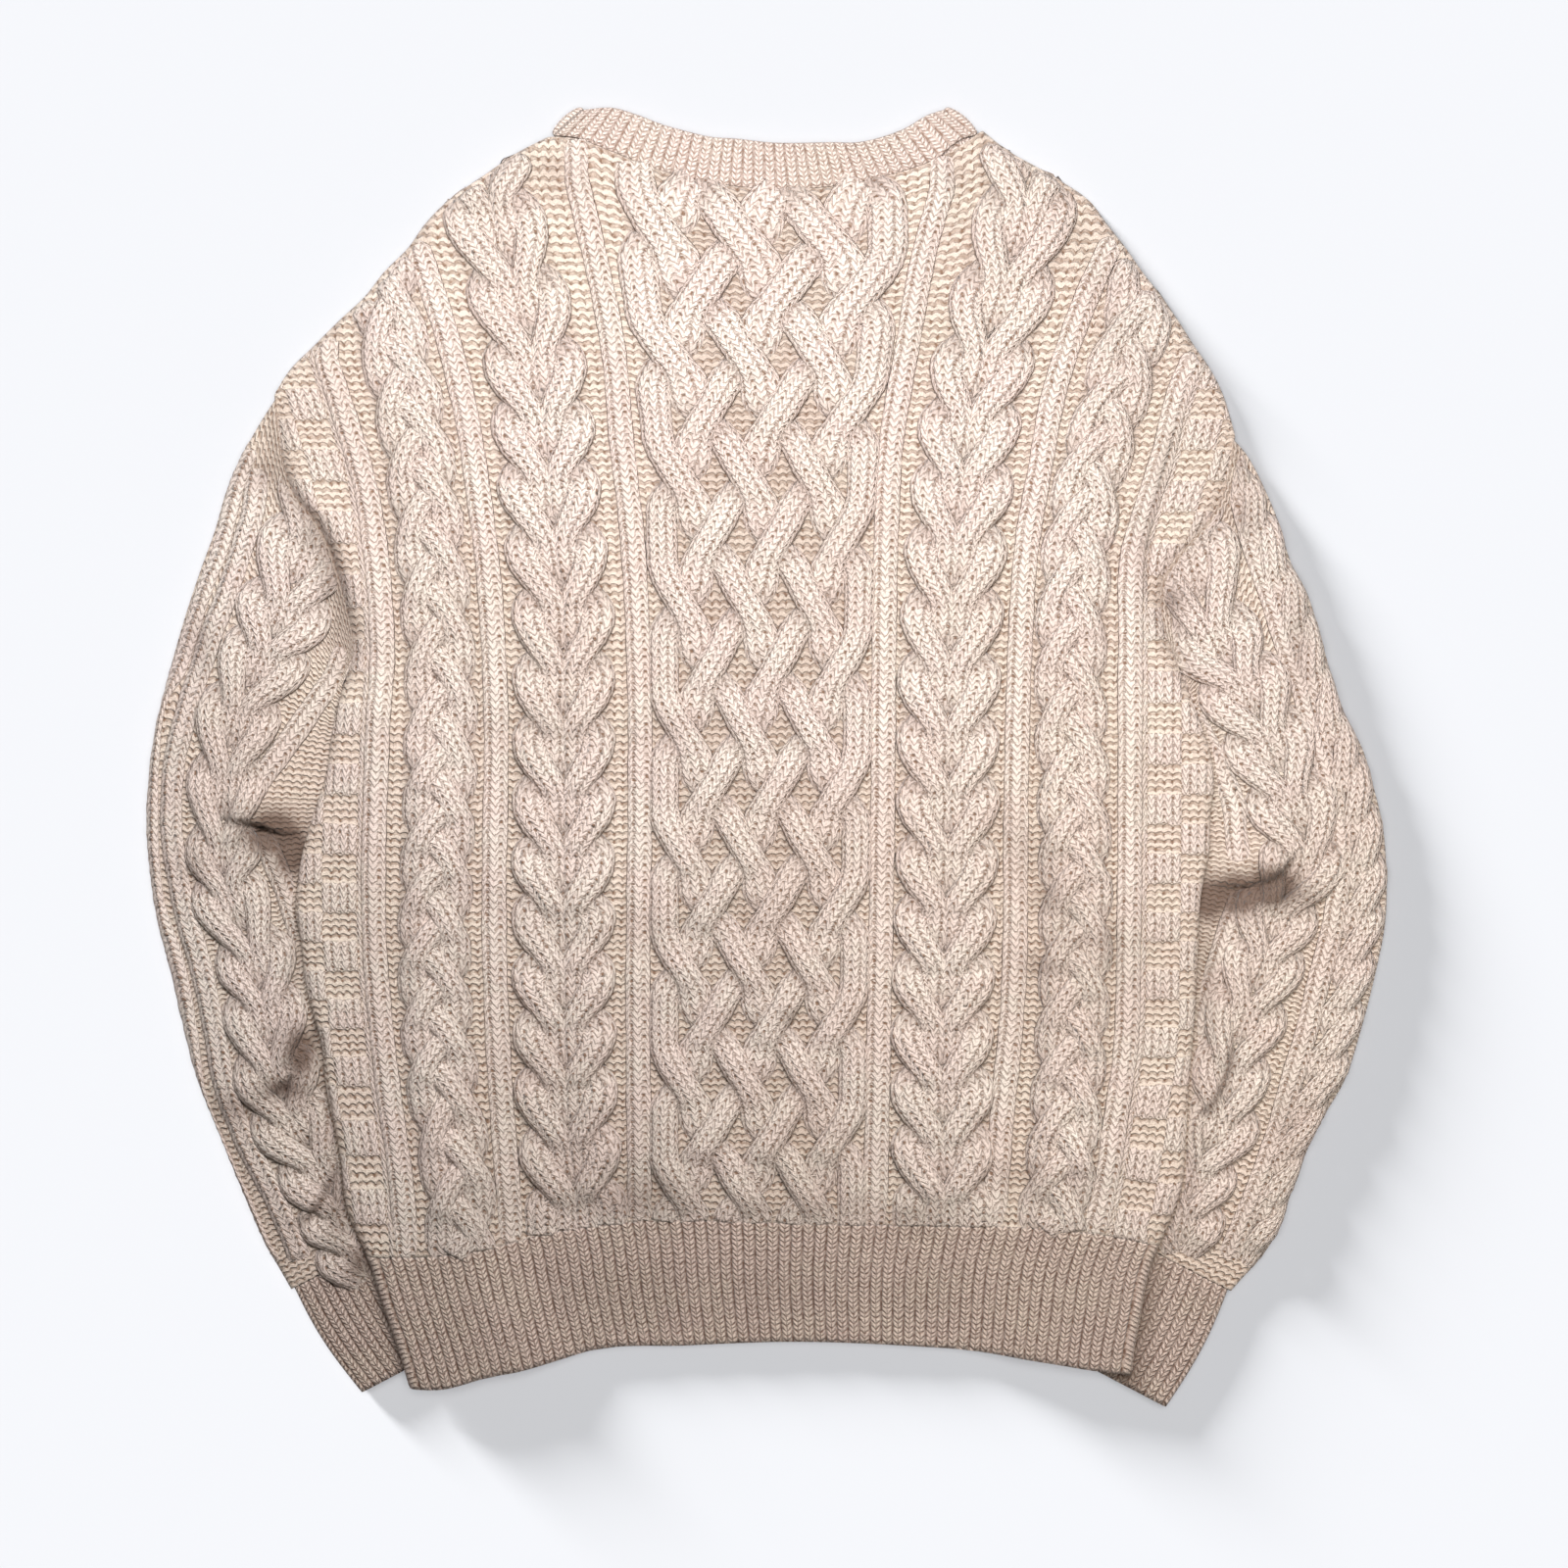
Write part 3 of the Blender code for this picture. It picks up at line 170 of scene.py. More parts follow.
class Knit:
    """A mesh made of grids of points in millimetres, each with a stitch coordinate."""

    def __init__(self):
        self.points, self.stitches, self.hollows, self.faces, self.count = [], [], [], [], 0

    def grid(self, points, stitches, wrap_rows=False, wrap_columns=False, hollow=0.0):
        """Add a grid of points (rows, columns, 3) and return its vertex numbers.

        The last argument, from 0 to 1, is how deep between others a point lies: painted shade that darkens
        the wool there.
        """
        rows, columns = points.shape[:2]
        number = self.count + np.arange(rows * columns).reshape(rows, columns)
        self.points.append(points.reshape(-1, 3))
        self.stitches.append(np.broadcast_to(stitches, points.shape).reshape(-1, 3))
        self.hollows.append(np.broadcast_to(hollow, (rows, columns)).ravel())
        self.count += rows * columns
        loop = np.concatenate([number, number[:1]]) if wrap_rows else number
        if wrap_columns:
            loop = np.concatenate([loop, loop[:, :1]], axis=1)
        quads = np.stack([loop[:-1, :-1], loop[1:, :-1], loop[1:, 1:], loop[:-1, 1:]], axis=-1)
        self.faces.append(quads.reshape(-1, 4))
        return number

    def bridge(self, first, first_keys, second, second_keys):
        """Join two chains of vertices by their keys, with triangles."""
        i = j = 0
        found = []
        while i < len(first) - 1 or j < len(second) - 1:
            first_left, second_left = i < len(first) - 1, j < len(second) - 1
            on_first = not second_left or (first_left and first_keys[i + 1] <= second_keys[j + 1])
            found.append((first[i], first[i + 1] if on_first else second[j + 1], second[j]))
            i, j = (i + 1, j) if on_first else (i, j + 1)
        self.faces.append(np.array(found))

    def fan(self, loop):
        """Close a small loop with triangles."""
        self.faces.append(np.array([(loop[0], loop[i], loop[i + 1]) for i in range(1, len(loop) - 1)]))

    def build(self, name, material):
        co = np.concatenate(self.points) - FRAME_ORIGIN
        corners = np.concatenate([f.ravel() for f in self.faces])
        sizes = np.concatenate([np.full(len(f), f.shape[1]) for f in self.faces])
        mesh = bpy.data.meshes.new(name)
        mesh.vertices.add(len(co))
        mesh.loops.add(len(corners))
        mesh.polygons.add(len(sizes))
        mesh.vertices.foreach_set("co", (co * MM).ravel().astype(np.float32))
        mesh.loops.foreach_set("vertex_index", corners.astype(np.int32))
        mesh.polygons.foreach_set("loop_start", (np.cumsum(sizes) - sizes).astype(np.int32))
        mesh.update(calc_edges=True)
        bm = bmesh.new()
        bm.from_mesh(mesh)
        bmesh.ops.recalc_face_normals(bm, faces=bm.faces)
        bm.to_mesh(mesh)
        bm.free()
        # the stitch coordinate, and the painted shade that darkens the wool
        for key, kind, field, values in (("stitch", "FLOAT_VECTOR", "vector", self.stitches),
                                         ("hollow", "FLOAT", "value", self.hollows)):
            attribute = mesh.attributes.new(key, kind, "POINT")
            attribute.data.foreach_set(field, np.concatenate(values).ravel().astype(np.float32))
        mesh.shade_smooth()
        mesh.materials.append(material)
        piece = bpy.data.objects.new(name, mesh)
        bpy.context.scene.collection.objects.link(piece)
        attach(piece, "root")
        return piece


class Guide:
    """A curve through points, numbered from 0 at the first of them."""

    def __init__(self, x, y, samples=260):
        self.last = len(x) - 1.0
        self.x_at, self.y_at = numbered(x), numbered(y)
        self.number = np.linspace(0, self.last, samples)
        self.x, self.y = self.x_at(self.number), self.y_at(self.number)
        ahead = np.gradient(self.x), np.gradient(self.y)
        self.along = np.stack(ahead) / np.hypot(*ahead)
        self.sections = int(np.hypot(np.diff(self.x), np.diff(self.y)).sum() / STRAND_STEP)

    def locate(self, x, y):
        """Distance of points from the curve, positive on the left of its way, and the number beside them."""
        px, py = np.ravel(x), np.ravel(y)
        gap = np.hypot(px[:, None] - self.x, py[:, None] - self.y)
        nearest = gap.argmin(axis=1)
        ahead_x, ahead_y = self.along[:, nearest]
        left = ahead_x * (py - self.y[nearest]) - ahead_y * (px - self.x[nearest])
        distance = np.where(left >= 0, 1, -1) * gap[np.arange(len(px)), nearest]
        return distance.reshape(np.shape(x)), self.number[nearest].reshape(np.shape(x))


def seen_at(px, py):
    """A point read off the photo, in its pixels, as x and y in millimetres."""
    return (px - DRAWING_ORIGIN[0]) * PIXEL, (DRAWING_ORIGIN[1] - py) * PIXEL


def seen(*points, samples=260):
    """A guide through points read off the photo."""
    return Guide(*zip(*[seen_at(*point) for point in points]), samples)


def pocket_shade(pockets, x, y):
    """Painted shade in soft hollows, how dark the wool is painted there: photo x and y, half width and height
    in mm, darkness.
    """
    dark = 0.0
    for px, py, wide, high, strength in pockets:
        middle_x, middle_y = seen_at(px, py)
        far = ((x - middle_x) / wide) ** 2 + ((y - middle_y) / high) ** 2
        dark = np.maximum(dark, strength * np.exp(-far))
    return dark


class Crease:
    """A shallow valley along a line of the photo, with the cloth a little raised on both sides."""

    def __init__(self, height, reach, *points, trough=0.0):
        self.guide, self.height, self.reach, self.trough = seen(*points, samples=80), height, reach, trough

    def beside(self, x, y, fade):
        """Distance left of the line's way, and how much of the crease is there: it fades at both ends."""
        beside, number = self.guide.locate(x, y)
        share = number / self.guide.last
        return beside, ease(share / fade) * (1 - ease((share - 1 + fade) / fade))

    def rise(self, x, y):
        beside, shown = self.beside(x, y, 0.35)
        swell = np.exp(-(beside / (2.4 * self.reach)) ** 2) - np.exp(-(beside / self.reach) ** 2)
        return 1.6 * self.height * shown * swell

    # painted shade along the floor of the crease
    def dark(self, x, y):
        beside, shown = self.beside(x, y, 0.35)
        return 0.1 * self.height * shown * np.exp(-(beside / self.reach) ** 2)


class Ledge(Crease):
    """A fold: the cloth on the left of a line's way bulges over the cloth on its right."""

    def rise(self, x, y):
        beside, shown = self.beside(x, y, 0.22)
        over = self.height * ease((beside + 0.8) / 1.8) * (1 - ease((beside - 1) / self.reach))
        under = self.trough * np.where(beside < 0, np.exp(-((beside + 2.5) / 3.5) ** 2), 0.0)
        return shown * (over - under)

    # painted shade in the mouth of the fold, under the bulging cloth
    def dark(self, x, y):
        beside, shown = self.beside(x, y, 0.3)
        return shown * np.exp(-((beside + 1.5) / 3.0) ** 2)


# ---------------------------------------------------------------- the body's shape

class Edge:
    """One side of the body's outline, as x at y: the shoulder, the armhole beside it and the side below."""

    def __init__(self, way, underarm, shoulder, above, beside, below, fold):
        self.way, self.underarm, self.shoulder = way, underarm, shoulder
        self.above, self.beside, self.below, self.fold = above, beside, below, fold

    def __call__(self, y):
        lower = np.where(y >= self.underarm, self.beside(y), self.below(y))
        return np.where(y >= self.shoulder, self.above(y), lower)

    def inside(self, x, y):
        """Distance in from the edge."""
        return (self(y) - x) * self.way

    def rolled(self, y, ahead=0.0):
        """1 where the back's edge rolls down round the front, 0 along the armhole seam."""
        below, above = self.underarm + ahead - y, y + ahead - self.shoulder
        return np.maximum(clamp(below / ROLL_FADE), clamp(above / ROLL_FADE))


LEFT = Edge(
    way=-1, underarm=55.6, shoulder=200,
    above=curve(y=(200, 214, 227, 241, 254, 268, 281, 295, 308, 322, 335, 342),
                x=(-273, -265, -252, -238, -224, -213, -200, -190, -177, -157, -137, -123)),
    beside=curve(y=(55.6, 67, 86, 102, 117, 130, 142, 157, 179, 200),
                 x=(-230, -231, -235, -239, -244, -251, -261, -268, -272, -273)),
    below=curve(y=(-349, -329, -303, -275, -252, -217, -183, -157, -140, -122, -102, -86, -72, -53, -32, -10,
                   11, 30, 55.6),
                x=(-198, -204, -213, -222, -232, -237, -244, -247, -252, -256, -258, -261, -260, -257, -251,
                   -244, -241, -237, -230)),
    fold=curve(y=(200, 178, 150, 120, 85, 55, 35), height=(0, 1.0, 3.4, 4.6, 4.0, 1.8, 0)))
RIGHT = Edge(
    way=1, underarm=55.6, shoulder=177,
    above=curve(y=(177, 187, 200, 214, 227, 241, 254, 268, 281, 295, 308, 322, 335, 346),
                x=(258, 256, 252, 245, 236, 227, 218, 207, 198, 187, 177, 156, 133, 119)),
    beside=curve(y=(55.6, 68, 83, 96, 109, 122, 137, 157, 177),
                 x=(225, 221, 218, 219, 226, 238, 249, 256, 258)),
    below=curve(y=(-349, -329, -312, -282, -260, -243, -217, -183, -148, -107, -75, -55, -32, -16, -4, 22, 36,
                   55.6),
                x=(200, 202, 205, 211, 220, 227, 230, 232, 235, 237, 239, 243, 244, 246, 245, 237, 232, 225)),
    fold=curve(y=(175, 150, 110, 80, 55, 35), height=(0, 0.8, 1.2, 2.0, 1.5, 0)))
EDGES = (LEFT, RIGHT)

crossing_y = curve(number=(-2, -1, 0, 4, 8, 12, 16, 17), y=(347, 315, 284, 152, 12, -118, -243, -273))
back_neck = curve(x=(-123, -104, -85, -68, -44, -23, 0, 20, 46, 72, 94, 108, 119),
                  y=(342, 340, 333, 326, 319, 315, 313, 313, 316, 322, 330, 338, 346))
neck_top = curve(x=(-102, -86, -72, -59, -45, -32, -18, 0, 36, 49, 63, 76, 88, 97),
                 y=(357, 358, 354, 349, 345, 342, 341, 339, 339, 339, 342, 347, 354, 357))
hem_seam = curve(x=(-222, -187, -151, -121, -78, 0, 36, 100, 171, 192, 216),
                 y=(-276, -276, -271, -264, -258, -258, -259, -260, -262, -265, -270))
hem_edge = curve(x=(-198, -180, -153, -136, -113, -99, -45, 9, 90, 117, 157, 182, 200),
                 y=(-349, -349, -342, -339, -333, -329, -326, -324, -327, -329, -335, -339, -341))
FRONT_NECK = dict(
    seam_x=(-128, -121, -105, -67, 0, 67, 102, 115, 124),
    seam_y=(332, 318, 292, 264, 252, 264, 293, 320, 334),
    free_x=(-102, -97, -86, -57, 0, 57, 84, 91, 97),
    free_y=(357, 328, 310, 288, 278, 288, 311, 329, 357))
front_neck = curve(x=FRONT_NECK["seam_x"], y=FRONT_NECK["seam_y"])
NECK_TIPS = dict(left=((-118, 342.6), (-102, 357)), right=((114, 342.6), (97, 357)))    # seam and free edge
plateau = curve(y=(-349, -318, -290, -257, -161, -105, -62, -35, -24, -10, 3, 16, 30, 60),
                width=(60, 62, 58, 56, 60, 68, 70, 70, 64, 56, 46, 34, 20, 20))

plait_left = curve(y=(-260, -234, -183, -112, -26, 43, 115, 150, 184, 227, 253),
                   x=(-169, -171, -179, -184, -181, -181, -187, -191, -197, -207, -213))
horseshoe_left = curve(y=(-253, -199, -107, 19, 87, 119, 157, 195, 227, 254, 292, 311),
                       x=(-106, -111, -113, -113, -114, -118, -122, -126, -131, -138, -150, -156))
braid = curve(y=(-259, 38, 313), x=(-6, -4, -4))
braid_reach = curve(y=(-214, -97, 60, 118, 152, 184, 218, 254, 281),
                    half=(52, 53, 54, 55, 56, 58, 62, 66, 70))
horseshoe_right = curve(y=(-253, -199, -140, -48, 55, 90, 120, 157, 194, 226, 254, 289, 303),
                        x=(97, 96, 96, 99, 100, 102, 104, 108, 113, 121, 129, 139, 143))
plait_right = curve(y=(-260, -234, -183, -94, -26, 60, 115, 150, 184, 218, 253),
                    x=(156, 160, 165, 169, 168, 167, 171, 177, 187, 197, 207))
RIDGES = (                # from left to right: side, outer and inner ridge, and again the other way
    curve(y=(-269, -234, -183, -112, 9, 60, 115, 150, 184, 218),
          x=(-199, -202, -209, -216, -215, -213, -217, -223, -233, -244)),
    curve(y=(-260, -234, -182, -113, 43, 114, 144, 184, 230, 282),
          x=(-142, -144, -148, -151, -151, -156, -160, -166, -177, -194)),
    curve(y=(-253, -151, 65, 119, 173, 227, 281, 319), x=(-71, -72, -72, -75, -81, -86, -97, -106)),
    curve(y=(-253, -151, -43, 65, 119, 173, 227, 281, 313), x=(59, 61, 63, 64, 65, 68, 77, 87, 96)),
    curve(y=(-260, -200, -148, -9, 60, 118, 158, 201, 227, 263, 284),
          x=(124, 129, 134, 137, 139, 143, 150, 158, 166, 180, 190)),
    curve(y=(-260, -234, -200, -166, -94, 60, 115, 141, 166, 201, 224),
          x=(180, 186, 191, 196, 198, 200, 202, 210, 218, 227, 237)))
WALE_LINES = RIDGES[:3] + (braid,) + RIDGES[3:]
WALE_COUNTS = (-46, -32, -15, 0, 15, 32, 46)    # purl stitches from the middle to these lines

RIGHT_ROLL = Ledge(2.6, 13.0, (1169, 640), (1167, 590), (1171, 545), (1181, 495), (1193, 450), (1205, 415),
                   trough=0.8)
CREASES = (
    Crease(1.8, 15.0, (380, 895), (480, 925), (580, 950), (700, 955), (800, 940), (890, 915)),
    Crease(1.2, 11.0, (400, 755), (500, 748), (620, 757), (720, 748), (820, 752)),
    Crease(2.4, 18.0, (960, 800), (1020, 850), (1072, 915), (1100, 985), (1140, 1080)),
    Crease(1.8, 10.0, (570, 1190), (640, 1203), (720, 1198), (830, 1206), (900, 1198)),
    Crease(1.7, 11.0, (960, 1190), (1030, 1208), (1110, 1212), (1180, 1190)),
    Crease(1.3, 12.0, (925, 190), (950, 260), (948, 340), (930, 430)),
    Crease(1.0, 12.0, (600, 240), (625, 340), (640, 440), (628, 540)),
    Crease(1.4, 14.0, (1060, 150), (1105, 240), (1140, 330), (1160, 430)),
    Crease(1.3, 10.0, (470, 190), (520, 172), (570, 180), (620, 190)))
# spots of painted shade on the back, where the cloth dips: photo x and y, half width and height in mm,
# darkness
BODY_SHADE_SPOTS = (
    (655, 1220, 42, 16, 0.6), (800, 1232, 56, 12, 0.38), (930, 1242, 28, 10, 0.45), (1060, 1222, 28, 10, 0.2),
    (780, 1100, 60, 14, 0.12), (780, 900, 70, 22, 0.1), (905, 300, 12, 50, 0.14), (1068, 915, 11, 11, 0.5),
    (1062, 985, 11, 10, 0.5), (1132, 965, 9, 22, 0.42), (805, 1038, 8, 7, 0.45), (562, 172, 12, 8, 0.34),
    (690, 176, 10, 7, 0.32), (500, 205, 12, 8, 0.24), (612, 330, 8, 60, 0.12), (1102, 240, 8, 12, 0.3),
    (655, 1315, 46, 20, 0.24), (790, 1315, 56, 20, 0.22), (940, 1320, 40, 16, 0.12), (975, 180, 10, 12, 0.28),
    (1165, 560, 7, 30, 0.2), (430, 1290, 40, 8, 0.1), (395, 1350, 10, 22, 0.1), (625, 1165, 60, 32, 0.28),
    (610, 1110, 90, 45, 0.16), (850, 1160, 75, 40, 0.16), (1120, 985, 55, 50, 0.15), (450, 955, 50, 45, 0.15),
    (485, 1235, 34, 22, 0.24), (720, 1020, 90, 40, 0.12), (575, 185, 18, 14, 0.2), (975, 225, 14, 14, 0.18))


def lift(x, y):
    """Height of the body's underside: raised at the sides where the sleeves lie under it."""
    total = 0.0
    for edge in EDGES:
        below = clamp((edge.underarm - y) / LIFT_LENGTH)
        total = total + LIFT * below * clamp(1 - (edge.inside(x, y) - plateau(y)) / SLOPE)
    return total


def row_height(row, x):
    """Height y of a row, a crossing number: bent to the neck seam above and the hem seam below."""
    top = clamp(1 - (row - FIRST_CROSSING) / NECK_BEND) ** 1.5
    bottom = clamp(1 - (LAST_CROSSING - row) / HEM_BEND)
    return (crossing_y(row) + top * (back_neck(x) - crossing_y(FIRST_CROSSING))
            + bottom * (hem_seam(x) - crossing_y(LAST_CROSSING)))


def front_row_height(row, x):
    top = clamp((FRONT_FIRST + FRONT_BEND - row) / FRONT_BEND)
    return mix(row_height(np.maximum(row, FRONT_FIRST), x), front_neck(x), top)


def hem_height(part, x):
    """Height y across the hem rib: part 0 is its seam and part 1 its free edge."""
    return mix(hem_seam(x) - SEAM, hem_edge(x), part)


def place(height, row, x_at):
    """The points of rows, whose height at x is height(row, x), on the line x = x_at(y)."""
    x = x_at(height(row, np.zeros_like(np.asarray(row, float))))
    for _ in range(14):
        x = (x + x_at(height(row, x))) / 2
    return x, height(row, x)


def body_folds(x, y):
    """How far the back stands up beside its armholes and between its creases."""
    total = RIGHT_ROLL.rise(x, y) + sum(crease.rise(x, y) for crease in CREASES)
    for edge in EDGES:
        inside = edge.inside(x, y)
        rise, fall = ease((inside + 2) / FOLD_RISE), 1 - ease((inside - FOLD_RISE) / FOLD_FALL)
        total = total + edge.fold(y) * rise * fall
    return total


def body_shade(x, y):
    """Painted shade: how dark the wool is painted in the valleys along the armholes, and in the creases and
    hollows.
    """
    dark = np.maximum(0.35 * RIGHT_ROLL.dark(x, y), pocket_shade(BODY_SHADE_SPOTS, x, y))
    for crease in CREASES:
        dark = np.maximum(dark, crease.dark(x, y))
    for edge in EDGES:
        fold = np.sqrt(np.maximum(edge.fold(y), 0))
        dark = np.maximum(dark, 0.34 * fold * bump(edge.inside(x, y), FOLD_SHADE))
    return dark


def body_top(x, y):
    """Height of the back's plain outer side, which drops at its rolled or sewn edges."""
    z = lift(x, y) + BACK_OUTER + body_folds(x, y)
    for edge in EDGES:
        outermost = mix(5.0, 0.3, edge.rolled(y))
        z = z - (BACK_OUTER - outermost) * (1 - rounding(edge.inside(x, y) / ROLL))
    return z


def edge_room(x, y):
    """Distance from the nearer of the body's edges."""
    return np.minimum(x - LEFT(y), RIGHT(y) - x)


def clear_of_edges(x, y):
    """0 at the body's edges and 1 further in."""
    return clamp((edge_room(x, y) - 2) / 8)


# ---------------------------------------------------------------- shells of the body

def sheet_rows(height, rows, insets, count, margin=lambda edge, y: 0.0):
    """Points of rows across the body: at insets from both edges, drawn in by a margin, and evenly between."""
    left, right = [lambda y, e=edge: e(y) - e.way * margin(e, y) for edge in EDGES]
    lines = [lambda y, d=inset: left(y) + d for inset in insets]
    lines += [lambda y, s=share: mix(left(y) + insets[-1], right(y) - insets[-1], s)
              for share in np.arange(1, count) / count]
    lines += [lambda y, d=inset: right(y) - d for inset in insets[::-1]]
    found = [place(height, rows, line) for line in lines]
    return np.stack([x for x, _ in found], axis=1), np.stack([y for _, y in found], axis=1)


def inner_rows(height, rows, count):
    return sheet_rows(height, rows, INNER_INSETS, count, lambda edge, y: INNER_INSET)


def closed_sheet(name, material, outer, outer_stitches, inner, inner_stitches, hollow=0.0):
    """A sheet with an outer and an inner side of as many rows each, closed all round."""
    knit = Knit()
    a, b = knit.grid(outer, outer_stitches, hollow=hollow), knit.grid(inner, inner_stitches)
    for end in (0, -1):
        knit.bridge(a[end], outer[end][:, 0], b[end], inner[end][:, 0])
    for end in (0, -1):
        knit.faces.append(np.stack([a[:-1, end], a[1:, end], b[1:, end], b[:-1, end]], axis=-1))
    return knit.build(name, material)


def wale_count(x, y):
    """Stitch coordinate across the body: the wales follow the ridges."""
    lines = [line(y) for line in WALE_LINES]
    u = WALE_COUNTS[0] + (x - lines[0]) / PURL_WALE
    for i in range(len(lines) - 1):
        share = (x - lines[i]) / (lines[i + 1] - lines[i])
        u = np.where(share >= 0, mix(WALE_COUNTS[i], WALE_COUNTS[i + 1], share), u)
    return np.where(x > lines[-1], WALE_COUNTS[-1] + (x - lines[-1]) / PURL_WALE, u)


def block_height(u, v):
    """Height of the basket stitch: knit blocks stand out, with soft sides."""
    across, along = [clamp(0.5 + 2.2 * np.sin(pi * at / BLOCK[key])) * 2 - 1
                     for at, key in ((u, "wales"), (v, "rows"))]
    return BLOCK["rise"] * (0.5 + 0.5 * across * along)


def shade_beside(x, y):
    """Painted shade on the purl ground close to the cables and ridges, by half the width of what lies there.
    """
    dark = clamp((1.1 * braid_reach(y) - np.abs(x - braid(y))) / 5.0)
    for half, lines in ((5.0, RIDGES), (17.5, (plait_left, plait_right)),
                        (24.0, (horseshoe_left, horseshoe_right))):
        for line in lines:
            dark = np.maximum(dark, bump(np.abs(x - line(y)) - half, 5.5))
    return dark


def make_back_shell(material):
    rows = np.linspace(FIRST_CROSSING, LAST_CROSSING, int(BACK_LONG / GRID))
    x, y = sheet_rows(row_height, rows, EDGE_INSETS, int(BACK_WIDE / GRID))
    u, v = wale_count(x, y), rows[:, None] * ROWS_PER_CROSSING
    basket = np.maximum(clamp((RIDGES[0](y) - 7 - x) / 2), clamp((x - RIDGES[-1](y) - 7) / 2))
    z = body_top(x, y) + basket * clear_of_edges(x, y) * block_height(u, v)
    xi, yi = inner_rows(row_height, rows, 12)
    zi = lift(xi, yi) + BACK_INNER + body_folds(xi, yi)
    for end, edge in ((0, LEFT), (-1, RIGHT)):
        zi[:, end] -= INNER_DROP * edge.rolled(yi[:, end])
    return closed_sheet("back_panel_knit", material,
                        stack(x, y, z), stack(u, v, basket * BASKET),
                        stack(xi, yi, zi), stack(xi / PURL_WALE, v, PURL),
                        np.maximum(body_shade(x, y), 0.3 * shade_beside(x, y)))


def make_front_shell(material):
    rows = np.linspace(FRONT_FIRST, LAST_CROSSING, FRONT_ROWS)
    x, y = sheet_rows(front_row_height, rows, FRONT_INSETS, FRONT_COLUMNS,
                      lambda edge, y: mix(0.05, FRONT_INSET, edge.rolled(y, ROLL_FADE)))
    under, stitches = lift(x, y), stack(x / PURL_WALE, rows[:, None] * ROWS_PER_CROSSING, PURL)
    return closed_sheet("front_panel_knit", material, stack(x, y, under + WALL), stitches,
                        stack(x, y, under), stitches)


def rib_wave(u):
    """Height of a rib, one knit and one purl stitch: a rounded crest with a narrow valley."""
    return np.sqrt(np.abs(np.cos(pi * u)))


def make_back_hem(material):
    parts = np.linspace(0, 1, BACK_HEM_ROWS)
    seam_share, edge_share = parts[:, None], 1 - parts[:, None]
    middle = hem_height(0.5, 0.0)
    ribs = round(float(RIGHT(middle) - LEFT(middle)) / RIB_PITCH)
    x, y = sheet_rows(hem_height, parts, EDGE_INSETS, RIB_POINTS * ribs)
    y = y + (SEAM + 0.4) * clamp(1 - seam_share / 0.03)
    u = (np.arange(x.shape[1]) - len(EDGE_INSETS) + 1) / RIB_POINTS + 0.5
    ends = clamp(np.minimum(seam_share / 0.05, edge_share / 0.04) + 0.35)
    sag = 0.5 * waves(x, 3.0, (31.0, 74.0, 160.0))
    z = body_top(x, y) + clear_of_edges(x, y) * ends * (RIB * rib_wave(u) - 0.4 + sag)
    z = z - 1.6 * clamp(1 - edge_share / 0.03)
    xi, yi = inner_rows(hem_height, parts, 24)
    zi = lift(xi, yi) + BACK_INNER
    zi[:, (0, -1)] -= INNER_DROP
    return closed_sheet("back_hem_knit", material, stack(x, y, z),
                        stack(u, -(y - hem_height(0.0, x)) / RIB_ROW, KNIT), stack(xi, yi, zi),
                        stack(xi / RIB_PITCH, -yi / RIB_ROW, KNIT), body_shade(x, y))


def make_front_hem(material):
    x, y = sheet_rows(hem_height, np.linspace(0, 1, FRONT_HEM_ROWS), FRONT_INSETS, FRONT_HEM_COLUMNS,
                      lambda edge, y: FRONT_INSET)
    u, under = np.arange(x.shape[1]) / FRONT_RIB_POINTS, lift(x, y)
    stitches = stack(u, -(y - hem_height(0.0, x)) / RIB_ROW, KNIT)
    return closed_sheet("front_hem_knit", material, stack(x, y, under + WALL), stitches,
                        stack(x, y, under + 0.5 * (1 - rib_wave(u))), stitches)


# ---------------------------------------------------------------- strands

